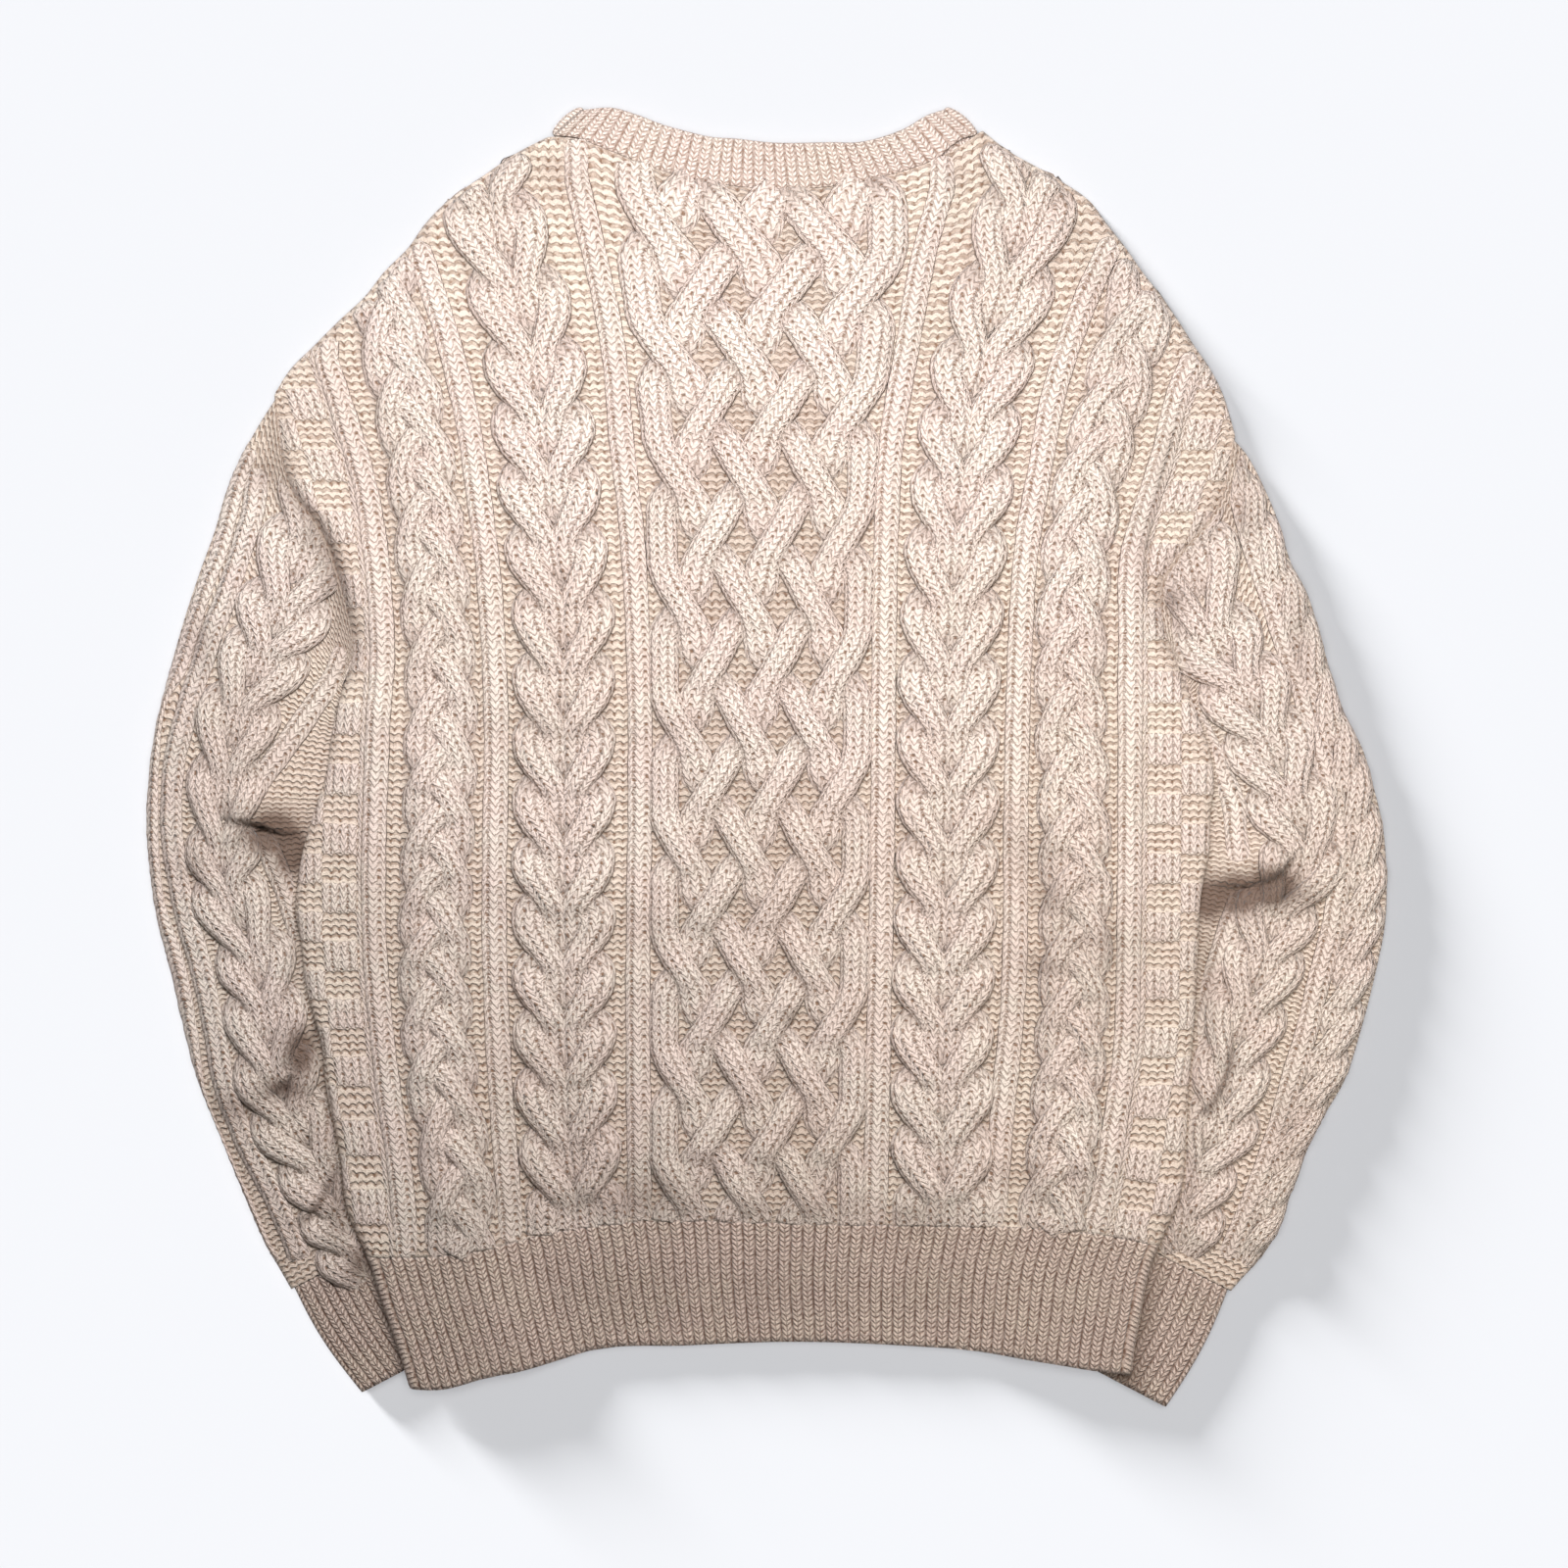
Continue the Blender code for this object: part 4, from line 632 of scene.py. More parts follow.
def sweep(knit, x, y, ground, width, crown, raised, rise, wales, seed, dark, top=SECTION_TOP):
    """Add a strand along the points x, y, with arrays of its width, crown and raised height.

    ground(px, py) is the height of what it lies on, crown its height over that, raised how far it
    is lifted or pressed down at crossings, rise(px, py) a share of all that, and dark(px, py) the
    painted shade of the ground.
    """
    tx, ty = np.gradient(x), np.gradient(y)
    length = np.hypot(tx, ty)
    travelled = np.cumsum(length)
    across_x, across_y = -ty / length, tx / length
    angles = np.concatenate([np.linspace(pi, 0, top), np.linspace(0, -pi, SECTION_UNDER + 2)[1:-1]])
    sine, cosine = np.sin(angles), np.cos(angles)
    shift = (width * (1 + 0.05 * waves(travelled, seed)) / 2)[:, None] * cosine
    middle = -0.04 * crown
    high = np.where(sine > 0, (crown - middle)[:, None], (middle + SINK)[:, None])
    height = middle[:, None] + high * np.sign(sine) * np.abs(sine) ** 1.15
    px, py = x[:, None] + across_x[:, None] * shift, y[:, None] + across_y[:, None] * shift
    lifted = raised + 0.25 * waves(travelled, seed + 2)
    share = rise(px, py)
    pz = ground(px, py) + share * (height + lifted[:, None]) - SINK * (1 - share)
    # the last column wraps to the first, so the strand's underside takes up the jump in u
    u = np.concatenate([np.linspace(0, wales, top), wales + np.arange(1, SECTION_UNDER + 1) * 0.8])
    # painted shade on the strand's flanks, stronger on the side away from the neck, and where it is pressed
    # under a crossing
    flank, away_from_neck = clamp(1 - sine / 0.6), clamp(0.3 - 1.5 * cosine * across_y[:, None])
    hollow = flank * (0.22 + 0.36 * away_from_neck) + 0.45 * clamp(-raised / OVER)[:, None]
    number = knit.grid(stack(px, py, pz), stack(u, (travelled / ROW + seed)[:, None], KNIT),
                       wrap_columns=True, hollow=np.maximum(hollow, dark(px, py)))
    knit.fan(number[0])
    knit.fan(number[-1])


def crossings(last, *pattern):
    """Crossings with a pattern repeated at each number from -1 to the last.

    Each is its number, the gap between two lanes where it is, and 1 or -1: the upper strand's way.
    """
    return [(number + phase, gap, way) for number in range(-1, last + 1) for phase, gap, way in pattern]


BRAID = [(number, gap, 1 - 2 * (number % 2)) for number in range(-1, 17) for gap in range(number % 2, 6, 2)]
HORSESHOE = ((-0.3, 0, 1), (-0.3, 2, -1))     # both outer strands go over to the middle together
PLAIT = ((0.15, 1, 1), (0.65, 0, -1))         # the middle strand goes over to the right, then to the left


def routes(lanes, found):
    """The way of each strand: a list of (number, step of one lane, goes over) for each start lane."""
    for start in range(lanes):
        lane, steps = start, []
        for number, gap, upper in sorted(found):
            if lane in (gap, gap + 1):
                step = 1 if lane == gap else -1
                steps.append((number, step, step == upper))
                lane += step
        yield start, steps


def strand_course(t, start, steps, lanes, stretch=1.0):
    """How a strand runs: its offset in lanes from the cable's middle, its level and how it fans out.

    The level is 1 on top of a crossing and -1 beneath one, and a strand fans out after it was on top.
    A stretched course takes longer to change lanes.
    """
    offset = np.full_like(t, start - (lanes - 1) / 2)
    level, fan = np.zeros_like(t), np.zeros_like(t)
    for number, step, over in steps:
        past = t - number
        if over:
            offset += step * ease((past + 0.1) / (0.95 * stretch) + 0.5)
            level += ease((past + 0.75) / 0.45) * (1 - ease((past - 0.1) / 0.4))
            fan += ease((past - 0.12) / 0.35) * (1 - ease((past - 0.9) / 0.2))
        else:
            offset += step * ease((past - 0.03) / (0.7 * stretch) + 0.5)
            level -= bump(past, 0.5)
    return offset, clamp(level, -1, 1), clamp(fan)


def squeezed(offset):
    """The inner lanes of a horseshoe cable lie close together: new offset, and share of the full width."""
    outward = np.abs(offset) - 0.5
    return np.sign(offset) * (0.38 + 1.1 * outward), 0.86 + 0.28 * outward


def strand_form(width, crown, level, fan):
    """Width, crown and raised height along a strand."""
    return (width * (1 - 0.04 * clamp(level) + 0.2 * fan), crown * (1 - 0.28 * fan),
            np.where(level > 0, OVER, -UNDER) * level)


HORSESHOE_CABLE = dict(lanes=4, found=crossings(16, *HORSESHOE), pitch=12.7, width=18.0, crown=4.7)
PLAIT_CABLE = dict(lanes=3, found=crossings(17, *PLAIT), pitch=10.8, width=16.0, crown=5.6)
CABLES = dict(            # pitch and width are of a lane, the braid's in thirds of its reach
    braid=dict(lanes=7, found=BRAID, pitch=1.0, width=0.96, crown=4.9, centre=braid, seed=1.0, stretch=1.4,
               scale=lambda y: braid_reach(y) / 3),
    horseshoe_left=dict(HORSESHOE_CABLE, centre=horseshoe_left, seed=9.0),
    horseshoe_right=dict(HORSESHOE_CABLE, centre=horseshoe_right, seed=14.0),
    plait_left=dict(PLAIT_CABLE, centre=plait_left, seed=19.0),
    plait_right=dict(PLAIT_CABLE, centre=plait_right, seed=24.0))


def lay_on_back(knit, t, x, y, width, crown, raised, wales, seed, top=SECTION_TOP):
    """Sweep a strand over the back, from where it is clear of the edges, faded at the neck and hem seams."""
    room = edge_room(x, y)
    keep = slice(int(np.argmax(room > 3.0)), None)
    fade = 0.3 + 0.7 * clamp((t[keep] - FIRST_CROSSING) / 0.4) * clamp((LAST_CROSSING - t[keep]) / 0.75)
    sweep(knit, x[keep], y[keep], body_top, np.minimum(width, 2 * room)[keep], crown[keep], raised[keep],
          lambda px, py: fade[:, None] * clear_of_edges(px, py), wales, seed, body_shade, top)


def make_cable(name, material, centre, lanes, found, pitch, width, crown, seed, stretch=1.0,
               scale=lambda y: 1.0):
    """A cable of crossing strands on the back, along a centre line; pitch and width are scaled at each y."""
    knit = Knit()
    t = np.linspace(FIRST_CROSSING, LAST_CROSSING, int(CABLE_LONG / STRAND_STEP))
    for start, steps in routes(lanes, found):
        offset, level, fan = strand_course(t, start, steps, lanes, stretch)
        offset, share = squeezed(offset) if lanes == 4 else (offset, 1.0)
        x, y = place(row_height, t, lambda at: centre(at) + offset * (pitch * scale(at)))
        lay_on_back(knit, t, x, y, *strand_form(width * scale(y) * share, crown, level, fan), 5, seed + start)
    return knit.build(name, material)


def make_ridges(name, material):
    """Ridges of three knit stitches on the purl ground of the back."""
    knit = Knit()
    t = np.linspace(FIRST_CROSSING, LAST_CROSSING, RIDGE_SECTIONS)
    for i, line in enumerate(RIDGES):
        x, y = place(row_height, t, line)
        crown, raised = np.full_like(x, RIDGE["crown"]), np.zeros_like(x)
        lay_on_back(knit, t, x, y, RIDGE["width"], crown, raised, 3, i, RIDGE_TOP)
    return knit.build(name, material)


# ---------------------------------------------------------------- neckband

BAND_PROFILE = dict(      # share of the band's width, height in walls and how much of a rib it has
    share=(0.0, 0.03, 0.12, 0.25, 0.4, 0.55, 0.7, 0.83, 0.92, 0.97, 1.0, 1.0, 0.97, 0.5, 0.0),
    radius=(0.85, 1.02, 1.12, 1.2, 1.25, 1.25, 1.22, 1.15, 1.05, 0.88, 0.6, 0.25, 0.0, 0.0, 0.0),
    rib=(0.2, 0.7, 1, 1, 1, 1, 1, 1, 0.9, 0.7, 0.5, 0.2, 0, 0, 0))
BAND_WIDTH, BAND_TURNS, BAND_FRONT = 25, 15, 120    # its width, and its sections at a turn and on the front


def make_neckband(material):
    """A ring of sections from seam to free edge, turned over at its tips: angle 0 behind, pi in front."""
    left, right = [np.array(NECK_TIPS[side], float) for side in ("left", "right")]
    ribs = round((right[0][0] - left[0][0]) / RIB_PITCH)
    share = np.linspace(0, 1, ribs * RIB_POINTS + 1)
    seam_x, free_x = [mix(left[i][0], right[i][0], share) for i in (0, 1)]
    tip = clamp(np.minimum(share, 1 - share) * 12)
    seam_y = back_neck(seam_x) + NECK_SEAM
    seam_y = np.maximum(mix(np.where(share < 0.5, left[0][1], right[0][1]), seam_y, tip), seam_y)
    back = stack(seam_x, seam_y), stack(free_x, neck_top(free_x)), 0 * share, share * ribs
    turning = np.linspace(0, pi, BAND_TURNS + 2)[1:-1]

    def turn(tips, angles, start):
        return (*[np.repeat(tips[i:i + 1], BAND_TURNS, axis=0) for i in (0, 1)], angles,
                start + np.arange(1, BAND_TURNS + 1) / RIB_POINTS)
    along = np.linspace(0, 1, BAND_FRONT)
    number = (len(FRONT_NECK["seam_x"]) - 1) * (1 - along)
    seam_x, seam_y, free_x, free_y = [numbered(values)(number) for values in FRONT_NECK.values()]
    seam, free = stack(seam_x, seam_y), stack(free_x, free_y)
    seam = seam + (free - seam) * (NECK_SEAM / np.hypot(*(free - seam).T))[:, None]
    blend = ease(np.minimum(along, 1 - along) / 0.12)[:, None]
    seam = mix(np.where((along < 0.5)[:, None], right[0], left[0]), seam, blend)
    front = seam, free, np.full(BAND_FRONT, pi), ribs + 2 + along * BAND_FRONT / FRONT_RIB_POINTS

    parts = back, turn(right, turning, ribs), front, turn(left, turning[::-1], 0)
    seam, free, angle, u = [np.concatenate(column) for column in zip(*parts)]
    part, radius, rib = [np.array(column) for column in BAND_PROFILE.values()]
    on_front = angle == pi
    axis = free - seam
    out = np.stack([-axis[:, 1], axis[:, 0]], axis=-1) / np.hypot(*axis.T)[:, None]
    out = out * np.where((seam[:, 0] > 0) & (angle > 0) & ~on_front, -1.0, 1.0)[:, None]
    relief = (RIB * rib_wave(u + 0.5) - 0.5) * ~on_front
    r = LAYER_GAP / 2 + WALL * radius + relief[:, None] * rib
    bulge = r * np.sin(angle)[:, None] * (0.8 + 0.3 * np.sin(pi * part))
    x, y = [seam[:, i:i + 1] + axis[:, i:i + 1] * part + out[:, i:i + 1] * bulge for i in (0, 1)]
    z = BACK_OUTER / 2 + r * np.cos(angle)[:, None]
    z[on_front] = np.clip(z[on_front], 0.0, BACK_INNER - LAYER_GAP)
    length = np.append(0.0, np.cumsum(np.hypot(np.diff(part * BAND_WIDTH), np.diff(radius * WALL))))
    knit = Knit()
    knit.grid(stack(x, y, z), stack(u[:, None] + 0.5, -length / RIB_ROW, KNIT),
              wrap_rows=True, wrap_columns=True)
    return knit.build("neckband_knit", material)


# ---------------------------------------------------------------- sleeves

sleeve_line = curve(number=(-2, 0, 2, 5, 9, 13.5), line=(0, 4, 8, 12.3, 16, 20))
PUFF, PUFF_MARGIN, PUFF_RISE = 3.0, 12.0, 20.0    # height of the loose upper wall, and where it rises
COVER_MARGIN = 0.5        # no relief this close to the body's edge, which passes over the sleeve
RELIEF_RISE = 5.0         # and so far on it has its full height
ROUND_STEPS = np.array([0.0, 0.2, 0.7, 1.5, 2.4, 3.4])
ROUND = ROUND_STEPS[-1]   # width of the rounded edge of a flattened tube
SLEEVE_CABLE = dict(pitch=0.46, width=0.66, crown=3.8)      # shares of half the cable's width, and height
SLEEVE_RIDGE = dict(width=13.0, crown=2.2, raised=0.0, wales=3, top=RIDGE_TOP)
RIM_RIDGE = dict(width=9.5, crown=1.8, raised=0.0, wales=2, top=RIDGE_TOP)
RIM_CABLE = dict(pitch=8.5, width=15.5, crown=3.2, beside=4.5)
SLEEVE_COLUMNS, LUMEN_POINTS = (58, 8), 12          # spaces over and under a sleeve, points across its inside
CUFF_ROWS, CUFF_UNDER = 26, 20      # rows along a cuff, and spaces under it
CUFF_LENGTH, CUFF_STEP = 62, 2.0    # the cuff starts a step in from the sleeve's outer edge


class Sleeve:
    """Lines across one sleeve, numbered from the shoulder, and the body's edge that covers its inner side."""

    def __init__(self, edge, outline, lines, folds, pockets, shade, cable, cuff):
        self.edge, self.side, self.last = edge, edge.way, len(outline["outer_x"]) - 1.0
        self.curves = [numbered(values) for values in outline.values()]
        self.rim = Guide(outline["outer_x"], outline["outer_y"])
        self.lines, self.folds, self.pockets, self.shade = lines, folds, pockets, shade
        self.cable, self.cuff = cable, cuff

    def ends(self, line):
        """The outer and the inner end of a line; the inner one lies under the back's edge."""
        x0, y0, x1, y1 = [curve_at(line) for curve_at in self.curves]
        covered = self.edge(y1) - self.side * 0.4
        return x0, y0, np.where((x1 - covered) * self.side > 0, covered, x1), y1

    def point(self, line, share):
        """Points at a share of a line; the first lines bend to the armhole, just under the back's edge."""
        x0, y0, x1, y1 = self.ends(line)
        a0, b0, a1, b1 = self.ends(0.0)
        to_seam = self.edge(mix(b0, b1, share)) - self.side * 1.5 - mix(a0, a1, share)
        return mix(x0, x1, share) + clamp(1 - line / 4) ** 2 * to_seam, mix(y0, y1, share)

    def outside(self, x, y):
        """Distance from the body's edge, positive where the sleeve is uncovered."""
        return -self.edge.inside(x, y)

    def inset(self, x, y):
        """Distance in from the sleeve's outer edge, and the line there."""
        beside, line = self.rim.locate(x, y)
        return -self.side * beside, line

    def puff(self, x, y, inset, line):
        """How far the loose upper wall stands up, with its folds."""
        rise = PUFF * clamp((inset - 2) / PUFF_RISE) * clamp(line / 2) * clamp((self.last - line) / 1.5)
        rise = rise * clamp((self.outside(x, y) - PUFF_MARGIN) / PUFF_RISE)
        inside = clamp((inset - 3) / 8) * clamp((self.outside(x, y) + 2) / 10)
        for fold in self.folds:
            rise = rise + inside * fold.rise(x, y)
        return np.maximum(rise, -0.6)

    def top(self, x, y):
        """Height of the sleeve's plain upper side."""
        inset, line = self.inset(x, y)
        return SLEEVE_TOP / 2 * (1 + rounding(inset / ROUND)) + self.puff(x, y, inset, line)

    def hollow(self, x, y):
        """Painted shade: how dark the wool is painted in the mouths of the folds, and beside the back's edge.
        """
        dark = self.shade(y) * bump(self.outside(x, y) + 1.0, 15.0)
        for fold in self.folds:
            dark = np.maximum(dark, 0.8 * fold.dark(x, y))
        return clamp(np.maximum(dark, pocket_shade(self.pockets, x, y)))

    def lay(self, knit, guide, offset, width, crown, raised, wales, seed, top=SECTION_TOP):
        """Sweep a strand at an offset, towards +x, from one of the sleeve's lines, where it is seen."""
        number = np.linspace(0, guide.last, len(offset))
        x, y = guide.x_at(number), guide.y_at(number)
        reach = max(2, int(len(x) / guide.last))
        ahead_x, ahead_y = softened(np.gradient(x), reach), softened(np.gradient(y), reach)
        length = np.hypot(ahead_x, ahead_y)
        x, y = x - ahead_y / length * offset, y + ahead_x / length * offset
        fade = clamp(np.arange(len(x)) / 8.0) * clamp((len(x) - 1 - np.arange(len(x))) / 10.0)
        width = np.minimum(width, np.maximum(2 * self.inset(x, y)[0], 2.0))
        visible = (self.outside(x, y) > -8) & (y < self.edge.shoulder + 12)
        if visible.sum() < 8:
            return
        keep = slice(int(np.argmax(visible)), len(x) - int(np.argmax(visible[::-1])))
        sweep(knit, x[keep], y[keep], self.top, width[keep], (crown + 0 * x)[keep], (raised + 0 * x)[keep],
              lambda px, py: fade[keep, None] * clamp((self.outside(px, py) - COVER_MARGIN) / RELIEF_RISE),
              wales, seed, self.hollow, top)


SLEEVES = dict(           # outline and cuff in mm, the rest as in the photo; V tips lie at whole numbers
    left=Sleeve(
        LEFT,
        dict(outer_x=(-273, -282, -292, -300, -306, -314, -322, -329, -335, -340, -343, -344, -342, -338,
                      -331, -324, -316, -303, -291, -279, -264),
             outer_y=(199, 184, 165, 146, 125, 103, 79, 55, 32, 9, -16, -37, -64, -91, -118, -148, -178, -210,
                      -240, -268, -295),
             inner_x=(-230.5, -231.8, -233.2, -234.6, -236.2, -238, -240.3, -234, -219, -205, -197, -194,
                      -198, -201, -203, -203, -202, -200, -198, -194, -191),
             inner_y=(55, 52, 48, 44, 38.5, 32.5, 25, 15, 3, -10, -24, -35, -47, -62, -80, -105, -130, -161,
                      -193, -224, -257)),
        lines=dict(
            horseshoe=seen((352, 425), (335, 490), (315, 553), (291, 618), (272, 666), (245, 723), (232, 790),
                           (228, 860), (232, 908), (258, 972), (269, 1026), (279, 1087), (296, 1138),
                           (323, 1186), (345, 1234), (362, 1272), (380, 1310)),
            ridge=seen((262, 470), (258, 520), (250, 548), (240, 580), (228, 615), (216, 645), (205, 680),
                       (195, 708), (185, 745), (177, 780), (174, 830), (177, 870), (188, 930), (204, 985),
                       (218, 1050), (229, 1110), (250, 1165), (276, 1215), (299, 1268), (306, 1290)),
            edge=seen((259, 452), (244, 484), (234, 520), (224, 560), (208, 600), (195, 640), (182, 680),
                      (165, 720), (157, 770), (154, 830), (156, 880), (163, 930), (181, 990), (193, 1050),
                      (205, 1110), (226, 1165), (250, 1220), (271, 1268), (284, 1290)),
            inner=seen((356, 650), (340, 690), (322, 716), (302, 746), (282, 774), (264, 800), (252, 826)),
            elbow=seen((266, 846), (279, 880), (292, 912), (302, 945), (316, 985))),
        folds=(Ledge(4.8, 26.0, (226, 836), (248, 838), (268, 843), (290, 850), (316, 846), trough=2.4),
               Ledge(2.6, 18.0, (262, 1125), (288, 1108), (305, 1085), (318, 1050), (322, 1015), trough=1.5),
               Ledge(1.5, 16.0, (290, 1255), (318, 1235), (335, 1205), (345, 1170), trough=1.2)),
        # spots of painted shade in the mouths of the folds and along the armhole
        pockets=((279, 850, 15, 12, 1.8), (297, 868, 10, 14, 1.6), (307, 1074, 9, 15, 1.3),
                 (291, 1110, 15, 8, 1.0), (240, 1130, 16, 9, 0.5), (345, 1230, 8, 30, 0.6),
                 (366, 1290, 8, 12, 0.9), (275, 480, 14, 12, 0.5), (300, 500, 14, 13, 0.5),
                 (326, 540, 11, 16, 0.65), (340, 590, 8, 18, 0.65), (346, 635, 7, 16, 0.5),
                 (205, 655, 8, 18, 0.4), (200, 880, 7, 12, 0.4), (300, 970, 5, 30, 0.35)),
        # painted shade beside the back's edge, along y
        shade=curve(y=(200, 168, 60, 38, -124, -151, -232, -300),
                    dark=(0.2, 0.45, 0.45, 0.1, 0.1, 0.4, 0.35, 0.4)),
        cable=curve(number=(0, 3, 5, 7, 9, 11, 16), half=(26, 26, 23, 20.5, 21.5, 23.5, 23.5)),
        cuff=dict(outer=(-225, -352), inner=(-160, -318), bow=3.0)),
    right=Sleeve(
        RIGHT,
        dict(outer_x=(259, 267, 275, 282, 289, 298, 305, 311, 319, 329, 335, 340, 342, 341, 335, 328, 319,
                      303, 292, 279, 256),
             outer_y=(176, 165, 148, 130, 107, 90, 68, 46, 23, 3, -18, -40, -67, -94, -124, -151, -179, -207,
                      -234, -268, -296),
             inner_x=(225.5, 227.5, 229.3, 231.3, 233.8, 236.4, 239.6, 231, 217, 203, 195, 192, 193, 195, 198,
                      198, 197, 195, 193, 190, 184),
             inner_y=(54.5, 51, 47, 42.5, 36.5, 30, 22, 10, -2, -14, -25, -37, -49, -63, -82, -105, -130,
                      -161, -193, -234, -259)),
        lines=dict(
            horseshoe=seen((1180, 400), (1192, 460), (1200, 515), (1214, 556), (1236, 644), (1266, 695),
                           (1292, 750), (1315, 811), (1331, 872), (1304, 928), (1291, 976), (1273, 1030),
                           (1256, 1087), (1246, 1140), (1223, 1192), (1210, 1238), (1204, 1285)),
            ridge=seen((1262, 480), (1270, 520), (1280, 560), (1297, 610), (1313, 660), (1328, 700),
                       (1342, 750), (1358, 800), (1368, 850), (1368, 890), (1359, 950), (1346, 1000),
                       (1334, 1050), (1319, 1100), (1305, 1150), (1288, 1200), (1268, 1250), (1250, 1292)),
            edge=seen((1268, 458), (1284, 505), (1301, 550), (1324, 600), (1342, 650), (1359, 700),
                      (1378, 750), (1392, 800), (1402, 850), (1406, 900), (1399, 950), (1389, 1000),
                      (1377, 1050), (1361, 1100), (1341, 1150), (1320, 1200), (1304, 1250), (1274, 1300)),
            inner=seen((1200, 690), (1218, 730), (1238, 770), (1258, 815), (1262, 850), (1266, 885)),
            elbow=seen((1270, 905), (1256, 945), (1242, 990), (1230, 1030), (1220, 1080))),
        folds=(Ledge(4.5, 24.0, (1225, 900), (1262, 904), (1290, 898), (1310, 884), (1322, 862), trough=2.6),
               Ledge(1.2, 16.0, (1215, 1150), (1238, 1120), (1252, 1085), (1250, 1050), trough=0.8)),
        # spots of painted shade in the mouths of the folds and along the armhole
        pockets=((1234, 918, 13, 14, 1.3), (1262, 912, 16, 11, 1.7), (1296, 905, 16, 11, 1.7),
                 (1326, 912, 10, 8, 0.6), (1232, 1000, 7, 45, 0.5), (1196, 612, 8, 9, 0.7),
                 (1264, 470, 4, 14, 0.45), (1310, 1140, 10, 22, 0.2), (1325, 650, 7, 30, 0.3),
                 (1268, 530, 8, 14, 0.4)),
        # painted shade beside the back's edge, along y
        shade=curve(y=(200, 100, 20, -60, -90, -165, -232, -300),
                    dark=(0.2, 0.3, 0.15, 0.2, 0.4, 0.35, 0.3, 0.7)),
        cable=curve(number=(0, 4, 6, 9, 16), half=(26, 25.5, 25, 23, 22)),
        cuff=dict(outer=(220, -360), inner=(153, -325), bow=3.0)))


def flat_tube(name, material, sleeve, width, columns, locate, relief, lifted, v, kind, pitch,
              count=None):
    """A flattened tube, open at both ends, in rows of points at distances from its outer edge.

    columns are the spaces across its upper and its lower side. locate(insets) gives x and y,
    relief(x, y, insets) the height over the plain upper side, lifted(x, y) the rise of the inside
    under it, and count(insets, under) the stitches across, where they aren't even.
    """
    steps = np.broadcast_to(ROUND_STEPS, (len(width), len(ROUND_STEPS)))
    upper = np.concatenate([steps, mix(ROUND, width - ROUND, np.arange(1, columns[0]) / columns[0]),
                            width - steps[:, ::-1]], axis=1)
    under = np.concatenate([width - steps[:, 1:],
                            mix(ROUND, width - ROUND, np.linspace(1, 0, columns[1])[1:-1]),
                            steps[:, :0:-1]], axis=1)
    insets, middle = np.concatenate([upper, under], axis=1), upper.shape[1]
    x, y = locate(insets)
    side = np.where(np.arange(insets.shape[1]) < middle, 1, -1)
    z = SLEEVE_TOP / 2 * (1 + side * rounding(np.minimum(insets, width - insets) / ROUND))
    z[:, :middle] += relief(x[:, :middle], y[:, :middle], upper)
    shares = np.linspace(0, 1, LUMEN_POINTS)
    lumen = mix(WALL, width - WALL, np.concatenate([shares, shares[-2:0:-1]]))
    xl, yl = locate(lumen)
    zl = np.where(np.arange(lumen.shape[1]) < len(shares), WALL + LUMEN + lifted(xl, yl), WALL)
    zl[:, (0, len(shares) - 1)] = SLEEVE_TOP / 2
    u = count(upper, under) if count else insets / pitch
    knit = Knit()
    sides = stack(x, y, z), stack(xl, yl, zl)
    grids = (knit.grid(sides[0], stack(u, v, kind), wrap_columns=True, hollow=sleeve.hollow(x, y)),
             knit.grid(sides[1], stack(lumen / pitch, v, kind), wrap_columns=True))
    for end in (0, -1):
        chains = []
        for numbers, points in zip(grids, sides):
            rim = np.append(points[end], points[end][:1], axis=0)
            length = np.append(0.0, np.cumsum(np.hypot(*np.diff(rim[:, :2], axis=0).T)))
            chains += [np.append(numbers[end], numbers[end][:1]), length / length[-1]]
        knit.bridge(*chains)
    return knit.build(name, material)


def make_sleeve_shell(name, sleeve, material):
    numbers = np.linspace(-2, 13.5, int(SLEEVE_LONG / GRID))[:, None]
    line = sleeve_line(numbers)
    x0, y0, x1, y1 = sleeve.ends(line)
    width = np.hypot(x1 - x0, y1 - y0)

    def puff(x, y, _insets=None):
        return sleeve.puff(x, y, *sleeve.inset(x, y))
    return flat_tube(name, material, sleeve, width, SLEEVE_COLUMNS,
                     lambda insets: sleeve.point(line, insets / width), puff,
                     lambda x, y: np.maximum(0.8 * puff(x, y) - 0.6, 0.0),
                     numbers * ROWS_PER_CROSSING, PURL, PURL_WALE)


